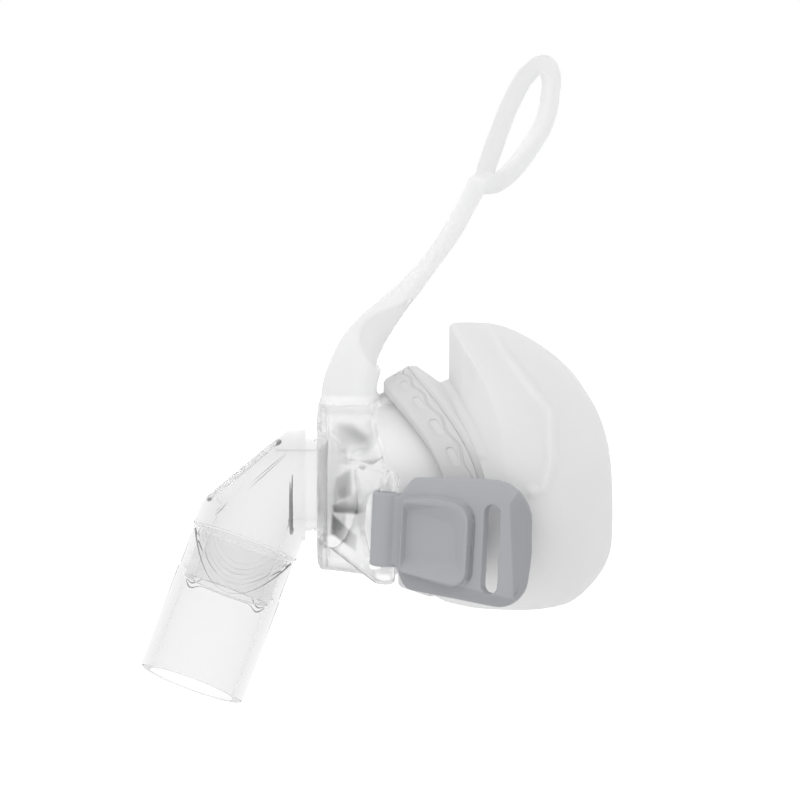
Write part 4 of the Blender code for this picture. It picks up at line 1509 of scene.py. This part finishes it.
    def loop_sections(self, side: Side) -> list[list[Vector]]:
        """Finds the sections of a strap loop: a rounded inner limb and a flat outer ribbon.

        Args:
            side: The wearer's left or right.

        Returns:
            The sections in order.
        """
        rows = smooth_rows([(side.value * x, y, z) for x, y, z in self.LOOP], steps=8, closed=True)
        path = [Vector(row) for row in rows]
        middle = sum(path, Vector()) / len(path)
        normal = Vector()
        for here, there in zip(path, path[1:] + path[:1]):
            normal += (here - middle).cross(there - middle)
        normal.normalize()
        outermost = max(abs(point.x) for point in path)
        found = []
        for i, point in enumerate(path):
            tangent = neighbour_span(path, i, closed=True).normalized()
            outwards = tangent.cross(normal).normalized()
            share = abs(point.x) / outermost
            sizes = (a + (b - a) * share for a, b in zip(self.LOOP_INNER, self.LOOP_OUTER))
            across = outwards.cross(tangent).normalized()
            found.append(rounded_section(point, outwards, across, *sizes, *self.LOOP_SECTION))
        return found

    def wing(self, side: Side) -> bpy.types.Object:
        """Makes a wing, whose two arms end in the lugs that hold the post.

        Args:
            side: The wearer's left or right.

        Returns:
            The wing.
        """
        half = self.wing_thickness / 2
        place = self.post.matrix(side, self.post.wing_flare)
        wing = prism(f"{side.word}_wing", rounded(self.WING, steps=5), -half, half, place)
        bevel_edges(wing, self.wing_bevel, segments=3, degrees=50)
        return wing

    def post_solid(self, side: Side) -> bpy.types.Object:
        """Makes the post that a clip swings on.

        Args:
            side: The wearer's left or right.

        Returns:
            The post.
        """
        reach = self.post.sleeve_half_height + self.gap + self.lug_length - self.post_end
        place = self.post.matrix(side, self.post.clip_flare)
        return rod(f"{side.word}_post", self.post.radius, reach, place, steps=48)

    def build(self) -> None:
        """Builds the frame as one clear moulding."""
        frame = self.shell()
        stem = loft("stem", self.stem_sections(smooth_rows(self.STEM, steps=6)))
        for side in Side:
            loop = loft(f"{side.word}_loop", self.loop_sections(side), closed=True)
            shoulder = loft(f"{side.word}_shoulder", self.shoulder_sections(side))
            combine(stem, (loop, shoulder, self.wing(side)), Join.ADD, Solver.MANIFOLD)
        combine(stem, (self.core(), loft("channel", self.channel_sections())), Join.CUT, Solver.MANIFOLD)
        posts = [self.post_solid(side) for side in Side]
        combine(frame, (stem, self.socket(), *posts), Join.ADD, Solver.MANIFOLD)
        melt_edges(frame, self.voxel, self.melt_passes)
        self.shop.hand_over(frame, HAZY, Body.MASK, "frame", (CLOUDY, self.cloudy_from))


@dataclass
class SoftParts:
    """The translucent ring and the silicone seal that it carries."""

    shop: Workshop
    points: int = 264
    seal_points: int = 300
    gap: float = 0.3 * MM
    shell_wall: float = 1.9 * MM
    ring_wall: float = 2.2 * MM
    seal_wall: float = 1.7 * MM
    collar: float = 1.2 * MM
    slots: int = 22
    slot_span: tuple[float, float] = (0.40, 0.64)
    collar_gap: float = 0.03 * MM
    slot_depth: float = 0.5 * MM
    slot_share: float = 0.55
    slot_steps: int = 8
    slot_rounding: float = 0.05
    band_depth: float = 0.18 * MM
    band_margin: float = 0.04
    groove_depth: float = 0.35 * MM
    crease_height: float = 0.8 * MM
    crease_width: float = 0.8 * MM
    crease_from: float = 22 * MM
    crease_fade: float = 4 * MM
    liner_gap: float = 0.4 * MM
    liner_wall: float = 0.7 * MM

    # The seal's hoops from the ring to its mouth, each with all of its values
    SEAL = (
        Hoop(0.0304, 0.0209, -0.0236, -0.0245, -0.0150, -0.0235, 2.2, 0.10, 0.0, 1.5, 0.0),
        Hoop(0.0316, 0.0216, -0.0243, -0.0227, -0.0136, -0.0205, 2.2, 0.12, 0.0, 1.8, 0.0),
        Hoop(0.0326, 0.0323, -0.0249, -0.0226, -0.0118, -0.0175, 2.2, 0.15, 0.0, 2.0, 0.0),
        Hoop(0.0332, 0.0331, -0.0252, -0.0212, -0.0095, -0.0130, 2.2, 0.17, 0.0, 2.0, 0.0),
        Hoop(0.0334, 0.0330, -0.0253, -0.0146, -0.0052, -0.0080, 2.2, 0.18, -0.2, 2.2, 0.0),
        Hoop(0.0322, 0.0318, -0.0249, -0.0088, 0.0000, -0.0030, 2.2, 0.18, -0.3, 2.8, 0.0012),
        Hoop(0.0292, 0.0297, -0.0236, -0.0042, 0.0062, 0.0014, 2.2, 0.18, -0.35, 3.2, 0.0026),
        Hoop(0.0240, 0.0258, -0.0202, -0.0010, 0.0096, 0.0026, 2.2, 0.20, -0.35, 3.4, 0.0036),
        Hoop(0.0188, 0.0210, -0.0156, -0.0022, 0.0088, 0.0008, 2.2, 0.24, -0.4, 3.2, 0.0040),
        Hoop(0.0142, 0.0160, -0.0118, -0.0066, 0.0042, -0.0032, 2.2, 0.28, -0.4, 2.6, 0.0040),
    )
    LINER_FRONT = Hoop(0.0187, 0.0151, -0.0159, -0.0385, -0.0345, -0.0380, 2.4)
    # Share of the way from the ring's front to its rear, depth in groove depths and swing to and fro
    RING_SKIN = (
        (0.00, 1.6, 0.0), (0.04, 0.5, 0.0), (0.09, 0.0, 0.0), (0.72, 0.0, 0.05), (0.75, 0.8, 0.05),
        (0.80, 0.8, 0.05), (0.83, 0.0, 0.05), (0.95, 0.0, 0.0), (0.98, 0.2, 0.0), (1.00, 0.7, 0.0),
    )
    # Where soft creases cross the side of the seal, in Y and Z
    CREASES = (
        (
            (-0.0146, 0.0331), (-0.0113, 0.0272), (-0.0074, 0.0223), (-0.0044, 0.0185), (-0.0028, 0.0171),
            (-0.0028, 0.0070), (-0.0044, 0.0019), (-0.0068, 0.0011),
        ),
        ((-0.0200, 0.0289), (-0.0188, 0.0256), (-0.0174, 0.0218), (-0.0162, 0.0169), (-0.0150, 0.0119)),
    )

    def ring_point(self, angle: float, share: float, depth: float) -> Vector:
        """Finds a point of the ring's outside.

        Args:
            angle: The angle from the top.
            share: The share of the way from its front to its rear.
            depth: How far in from the plain skin.

        Returns:
            The point.
        """
        near, far = RING_FRONT.point(angle), RING_REAR.point(angle)
        point = near.lerp(far, share)
        inwards = Vector((-point.x, 0.0, -point.z)).normalized()
        return point + inwards * depth

    def ring_loop(self, share: float, depth: float, swing: float = 0.0) -> list[Vector]:
        """Finds a loop of points round the ring's outside.

        Args:
            share: The share of the way from its front to its rear.
            depth: How far in from the plain skin.
            swing: How far the share swings to and fro, once for each slot.

        Returns:
            The points in order.
        """
        turns = turns_of(self.points)
        return [self.ring_point(turn, share + swing * math.sin(self.slots * turn), depth) for turn in turns]

    def build_ring(self) -> None:
        """Builds the ring, with a groove round it and a row of shallow slots."""
        deep = self.groove_depth
        loops = [self.ring_loop(share, depth * deep, swing) for share, depth, swing in self.RING_SKIN]
        for hoop in (RING_REAR, RING_FRONT):
            loops.append(hoop.inset(self.ring_wall).points(self.points))
        ring = loft("ring_body", loops, closed=True)
        cutters = [self.slot_cutter(i) for i in range(self.slots)]
        combine(ring, cutters, Join.CUT, Solver.MANIFOLD)
        soften(ring)
        self.shop.hand_over(ring, MILKY, Body.MASK, "seal_ring")

    def build_band(self) -> None:
        """Builds the paler band that shows in the ring's slots."""
        low, high = self.slot_span[0] - self.band_margin, self.slot_span[1] + self.band_margin
        top, bottom = self.band_depth, self.slot_depth + self.band_depth
        corners = ((low, top), (high, top), (high, bottom), (low, bottom))
        band = loft("ring_band", [self.ring_loop(*corner) for corner in corners], closed=True)
        soften(band)
        self.shop.hand_over(band, PALE, Body.MASK)

    def slot_cutter(self, number: int) -> bpy.types.Object:
        """Makes the cutter of one shallow slot, which follows the ring's curve.

        Args:
            number: Which slot it is, counted from the top.

        Returns:
            The cutter.
        """
        start = 2 * math.pi * (number + 0.5) / self.slots
        span = 2 * math.pi / self.slots * self.slot_share
        loops = []
        for i in range(self.slot_steps + 1):
            angle = start - span / 2 + span * i / self.slot_steps
            narrow = self.slot_rounding if i in (0, self.slot_steps) else 0.0
            low, high = self.slot_span[0] + narrow, self.slot_span[1] - narrow
            corners = ((low, self.slot_depth), (high, self.slot_depth), (high, -MM), (low, -MM))
            loops.append([self.ring_point(angle, *corner) for corner in corners])
        return loft(f"slot_{number}", loops)

    def crease(self, seal: bpy.types.Object) -> None:
        """Raises soft creases on both sides of the seal, but not on the lip round its mouth.

        Args:
            seal: The seal, whose points move.
        """
        pieces = []
        for points in self.CREASES:
            corners = [Vector(point) for point in points]
            pieces += list(zip(corners, corners[1:]))
        for vertex in seal.data.vertices:
            place = Vector((vertex.co.y, vertex.co.z))
            nearest = min(self.reach(place, *piece) for piece in pieces)
            outwards = math.hypot(vertex.co.x, vertex.co.z) - self.crease_from
            share = min(max(outwards / self.crease_fade, 0.0), 1.0)
            rise = share * self.crease_height * math.exp(-((nearest / self.crease_width) ** 2))
            vertex.co.x += math.copysign(rise, vertex.co.x)

    @staticmethod
    def reach(place: Vector, start: Vector, end: Vector) -> float:
        """Finds how far a place lies from the line between two points.

        Args:
            place: The place, in Y and Z.
            start: Where the line starts.
            end: Where the line ends.

        Returns:
            The distance.
        """
        along = end - start
        share = min(max((place - start).dot(along) / along.length_squared, 0.0), 1.0)
        return (place - start - along * share).length

    def build_seal(self) -> None:
        """Builds the soft seal, a curled silicone wall with a rounded edge at its mouth."""
        collar = (RING_REAR.moved(self.collar_gap), RING_REAR.moved(self.gap + self.collar), *self.SEAL[:2])
        hoops = [*collar, *smooth_hoops(self.SEAL[2:], steps=11)]
        seal = loft("seal_skin", [hoop.points(self.seal_points) for hoop in hoops], caps=False)
        thicken(seal, self.seal_wall)
        self.crease(seal)
        soften(seal, degrees=60.0)
        self.shop.hand_over(seal, SILICONE, Body.MASK, "seal")

    def build_liner(self) -> None:
        """Builds the thin lip of the seal that lies inside the frame's skirt."""
        depth = self.ring_wall + self.gap + self.shell_wall + self.liner_gap
        hoops = (
            self.LINER_FRONT,
            RING_FRONT.inset(depth),
            RING_MIDDLE.inset(depth),
            RING_REAR.inset(self.ring_wall + self.liner_gap),
            self.SEAL[0].inset(self.seal_wall),
        )
        loops = [hoop.points(self.points) for hoop in smooth_hoops(hoops, steps=5)]
        liner = loft("seal_liner", loops, caps=False)
        thicken(liner, self.liner_wall)
        soften(liner, degrees=50.0)
        self.shop.hand_over(liner, MEMBRANE, Body.MASK)

    def build(self) -> None:
        """Builds the ring with its band, and the seal with its liner."""
        self.build_ring()
        self.build_band()
        self.build_seal()
        self.build_liner()


@dataclass
class Clip:
    """A headgear clip: a sleeve that snaps round the post, a grip pad and a slot for the strap."""

    shop: Workshop
    post: PostPlace
    thickness: float = 2.6 * MM
    outset: float = 1.0 * MM
    bevel: float = 0.6 * MM
    turn_gap: float = 0.4 * MM
    sleeve_wall: float = 1.1 * MM
    mouth: float = 2.6 * MM
    mouth_turn: float = math.radians(25.0)
    slot_height: float = 17.6 * MM
    slot_width: float = 3.4 * MM
    slot_flat: float = 0.1 * MM
    slot_u: float = 23.4 * MM
    slot_v: float = -1.9 * MM
    pad_rise: float = 1.7 * MM
    dish_depth: float = 1.6 * MM
    moat: float = 0.5 * MM
    moat_depth: float = 0.6 * MM
    moat_from: float = 15 * MM
    fine_edge: float = 0.3 * MM
    pad_root: float = 0.5 * MM
    dish_overrun: float = 0.15 * MM
    cut_overrun: float = 4 * MM
    slot_reach: float = 10 * MM
    voxel: float = 0.2 * MM
    melt_passes: int = 3
    faces_kept: float = 0.4

    # Corners of the plate, the pad and the dish, each with its radius: u to the rear, v up
    PLATE = (
        ((0.0012, 0.0066), 0.0003),
        ((0.0031, 0.0068), 0.0003),
        ((0.0056, 0.0108), 0.0016),
        ((0.0220, 0.0118), 0.0200),
        ((0.0307, 0.0108), 0.0078),
        ((0.0312, -0.0030), 0.0300),
        ((0.0302, -0.0140), 0.0062),
        ((0.0052, -0.0114), 0.0026),
        ((0.0031, -0.0068), 0.0003),
        ((0.0012, -0.0066), 0.0003),
    )
    PAD = (
        ((0.0044, 0.0066), 0.0008),
        ((0.0110, 0.0076), 0.0100),
        ((0.0193, 0.0066), 0.0040),
        ((0.0191, -0.0108), 0.0034),
        ((0.0044, -0.0080), 0.0010),
    )
    DISH_FLOOR = (
        ((0.0054, 0.0046), 0.0006),
        ((0.0158, 0.0024), 0.0026),
        ((0.0158, -0.0055), 0.0010),
        ((0.0054, -0.0053), 0.0006),
    )
    DISH_RIM = (
        ((0.0048, 0.0062), 0.0008),
        ((0.0188, 0.0060), 0.0036),
        ((0.0187, -0.0103), 0.0032),
        ((0.0048, -0.0078), 0.0010),
    )
    # Beyond these lines, u and v, the outside of the plate slopes away, by this much for each metre
    FOLDS = ((0.0266, -0.0094, 0.12), (0.0292, -0.0118, 0.85))
    # The same for the plate's top: above this v, by this much
    TOP_FOLD = (0.0080, 0.40)

    def slot_corners(self) -> Corners:
        """Gives the corners of the strap slot, whose ends are round.

        Returns:
            Each corner with its radius.
        """
        radius = self.slot_width / 2 - self.slot_flat
        left, right = self.slot_u - self.slot_width / 2, self.slot_u + self.slot_width / 2
        low, high = self.slot_v - self.slot_height / 2, self.slot_v + self.slot_height / 2
        return [(corner, radius) for corner in ((left, high), (right, high), (right, low), (left, low))]

    def moat_corners(self) -> Corners:
        """Gives the pad's corners, moved out at its rear, where a fine groove runs along it."""
        return [((u + self.moat * (u > self.moat_from), v), radius) for (u, v), radius in self.PAD]

    def fold(self, clip: bpy.types.Object, inner: float, place: Matrix) -> None:
        """Slopes the outside of the plate away beyond its fold lines.

        Args:
            clip: The clip, whose points move.
            inner: Where the plate's inside lies along local X.
            place: Where the clip stands.
        """
        back = place.inverted()
        top, top_slope = self.TOP_FOLD
        for vertex in clip.data.vertices:
            local = back @ vertex.co
            share = (local.x - inner) / self.thickness
            fall = sum(slope * max(local.y - u, v - local.z, 0.0) for u, v, slope in self.FOLDS)
            fall += top_slope * max(local.z - top, 0.0)
            local.x -= share * fall
            vertex.co = place @ local

    def sleeve(self, outside: float, place: Matrix) -> bpy.types.Object:
        """Makes the solid sleeve round the post.

        Args:
            outside: The sleeve's radius.
            place: Where the clip stands.

        Returns:
            The sleeve.
        """
        half, edge = self.post.sleeve_half_height, self.fine_edge
        profile = (
            (0.0, -half),
            (outside - edge, -half),
            (outside, edge - half),
            (outside, half - edge),
            (outside - edge, half),
            (0.0, half),
        )
        return lathe("sleeve", profile, place, steps=96)

    def mouth_cutter(self, sign: int, depth: float, reach: float, place: Matrix) -> bpy.types.Object:
        """Makes the cutter of the mouth through which the sleeve snaps round the post.

        Args:
            sign: 1 for the wearer's left and -1 for the right.
            depth: How deep the mouth is.
            reach: How far the cutter reaches up and down.
            place: Where the clip stands.

        Returns:
            The cutter.
        """
        block = bmesh.new()
        bmesh.ops.create_cube(block, size=1.0)
        turn = Matrix.Rotation(-sign * self.mouth_turn, 4, "Z")
        inwards = Matrix.Translation((-sign * depth / 2, 0.0, 0.0))
        sizes = Matrix.Diagonal((depth, self.mouth, 2 * reach, 1.0))
        return finished_object("mouth", block, place @ (turn @ inwards) @ sizes)

    def build(self, side: Side, body: Body) -> None:
        """Builds the clip of one side.

        Args:
            side: The wearer's left or right.
            body: The body that the clip moves with.
        """
        sign = side.value
        place = self.post.matrix(side, self.post.clip_flare)
        inner = sign * (self.outset - self.thickness / 2)
        outer = sign * (self.outset + self.thickness / 2)
        face = outer + sign * self.pad_rise
        bore = self.post.radius + self.turn_gap
        outside = bore + self.sleeve_wall
        reach = self.post.sleeve_half_height + self.cut_overrun
        clip = prism(f"{side.word}_clip_body", rounded(self.PLATE), inner, outer, place)
        bevel_edges(clip, self.bevel, segments=4, degrees=60)
        pad_outline, moat_outline = rounded(self.PAD), rounded(self.moat_corners())
        pad_top = spread_out(pad_outline, -self.fine_edge)
        pad = prism("pad", pad_outline, outer - sign * self.pad_root, face, place, pad_top)
        moat = prism("moat", moat_outline, outer - sign * self.moat_depth, outer + sign * MM, place)
        floor, rim = face - sign * self.dish_depth, face + sign * self.dish_overrun
        combine(clip, (moat,), Join.CUT)
        combine(clip, (self.sleeve(outside, place), pad), Join.ADD)
        cutters = (
            prism("dish", rounded(self.DISH_FLOOR), floor, rim, place, rounded(self.DISH_RIM)),
            rod("post_bore", bore, reach, place, steps=64),
            self.mouth_cutter(sign, outside + 2 * MM, reach, place),
            prism("strap_slot", rounded(self.slot_corners()), -self.slot_reach, self.slot_reach, place),
        )
        combine(clip, cutters, Join.CUT)
        melt_edges(clip, self.voxel, self.melt_passes, self.faces_kept)
        self.fold(clip, inner, place)
        self.shop.hand_over(clip, NYLON, body, body.value)


@dataclass
class Studio:
    """The camera, the white surroundings, the lamp and the floor."""

    target: tuple[float, float, float] = (0.0, -32.65 * MM, 17.35 * MM)
    elevation: float = math.radians(3.4)
    distance: float = 1.020
    focal_pixels: float = 4998.0
    image_pixels: float = 800.0
    sensor: float = 36.0
    nearest: float = 0.01
    lamp_place: tuple[float, float, float] = (0.45, -0.35, 0.85)
    lamp_size: float = 0.8
    lamp_energy: float = 1.1
    # How bright the surroundings are as light, from below and from above
    light_white: tuple[float, float] = (0.78, 0.92)
    # How bright reflections and views through glass find them, below and above the heights given
    glass_white: tuple[float, float] = (1.0, 0.75)
    glass_heights: tuple[float, float] = (0.45, 0.85)
    floor_drop: float = 75 * MM
    floor_size: float = 8.0
    floor_white: float = 0.9
    floor_roughness: float = 0.9
    # The floor's own glow, and the share of it where it is seen, which keeps its shadow pale
    floor_glow: float = 1.25
    floor_glow_share: float = 0.7

    def build_camera(self) -> None:
        """Sets the camera where the photograph was taken from."""
        lens = bpy.data.cameras.new("camera")
        lens.sensor_width = self.sensor
        lens.lens = self.focal_pixels / self.image_pixels * self.sensor
        lens.clip_start = self.nearest
        camera = bpy.data.objects.new("camera", lens)
        bpy.context.scene.collection.objects.link(camera)
        away = Vector((math.cos(self.elevation), 0.0, math.sin(self.elevation)))
        camera.location = Vector(self.target) + away * self.distance
        camera.rotation_euler = away.to_track_quat("Z", "Y").to_euler()
        bpy.context.scene.camera = camera

    def build_world(self) -> None:
        """Surrounds the mask with soft white, which is greyer overhead for what isn't the camera."""
        world = bpy.data.worlds.new("studio")
        world.use_nodes = True
        bpy.context.scene.world = world
        wiring = Wiring(world.node_tree)
        direction = wiring.add("TexCoord").outputs["Generated"]
        height = wiring.add("SeparateXYZ", {0: direction}).outputs["Z"]
        glass = wiring.ramp(height, self.glass_heights, self.glass_white)
        light = wiring.ramp(height, (-1.0, 1.0), self.light_white, smooth=False)
        path = wiring.add("LightPath").outputs
        seen = wiring.compute("MAXIMUM", path["Is Glossy Ray"], path["Is Transmission Ray"])
        through = wiring.add("Mix", {"Factor": seen, "A": light, "B": glass}).outputs["Result"]
        final = wiring.add("Mix", {"Factor": path["Is Camera Ray"], "A": through, "B": 1.0}).outputs["Result"]
        wiring.fill(world.node_tree.nodes["Background"], {"Strength": final, "Color": grey(1.0)})

    def build_lamp(self) -> None:
        """Hangs one broad soft lamp above the mask, on the camera's side."""
        lamp = bpy.data.lights.new("softbox", "AREA")
        lamp.shape = "SQUARE"
        lamp.size = self.lamp_size
        lamp.energy = self.lamp_energy
        placed = bpy.data.objects.new("softbox", lamp)
        bpy.context.scene.collection.objects.link(placed)
        placed.location = self.lamp_place
        placed.rotation_euler = Vector(self.lamp_place).to_track_quat("Z", "Y").to_euler()

    def build_floor(self, lowest: float) -> None:
        """Lays a white floor below the mask, which keeps its shadow.

        Args:
            lowest: The height of the mask's lowest point.
        """
        shape = bmesh.new()
        bmesh.ops.create_grid(shape, x_segments=1, y_segments=1, size=self.floor_size / 2)
        floor = finished_object("floor", shape, Matrix.Translation((0.0, 0.0, lowest - self.floor_drop)))
        made = bpy.data.materials.new("white_floor")
        made.use_nodes = True
        nodes, wiring = made.node_tree.nodes, Wiring(made.node_tree)
        shader = nodes["Principled BSDF"]
        wiring.fill(shader, {"Base Color": grey(self.floor_white), "Roughness": self.floor_roughness})
        glow = wiring.add("Emission", {"Strength": self.floor_glow})
        path = wiring.add("LightPath").outputs
        seen = wiring.compute("ADD", path["Is Camera Ray"], path["Is Transmission Ray"])
        share = wiring.compute("MULTIPLY", seen, self.floor_glow_share, clamp=True)
        mixed = wiring.add("MixShader", {"Fac": share, 1: shader.outputs[0], 2: glow.outputs[0]})
        wiring.fill(nodes["Material Output"], {"Surface": mixed.outputs[0]})
        floor.data.materials.append(made)
        floor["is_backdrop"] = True

    def build(self, lowest: float) -> None:
        """Builds the whole studio.

        Args:
            lowest: The height of the mask's lowest point.
        """
        self.build_camera()
        self.build_world()
        self.build_lamp()
        self.build_floor(lowest)
        bpy.context.scene.view_settings.view_transform = "Standard"


def main() -> None:
    """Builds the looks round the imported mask."""
    logging.basicConfig(level=logging.INFO, format="%(name)s: %(message)s")
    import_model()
    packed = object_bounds()
    Studio().build(packed[0][2])
    group, facets = SurfaceGroup(), {row: FacetGroup(row) for row in Facets}
    shop = Workshop({finish.name: finish.make(group, facets) for finish in FINISHES})
    post = PostPlace()
    Connector(shop).build()
    ClearFrame(shop, post).build()
    SoftParts(shop).build()
    Clip(shop, post).build(Side.LEFT, Body.LEFT_CLIP)
    Clip(shop, post).build(Side.RIGHT, Body.RIGHT_CLIP)


if __name__ == "__main__":
    main()
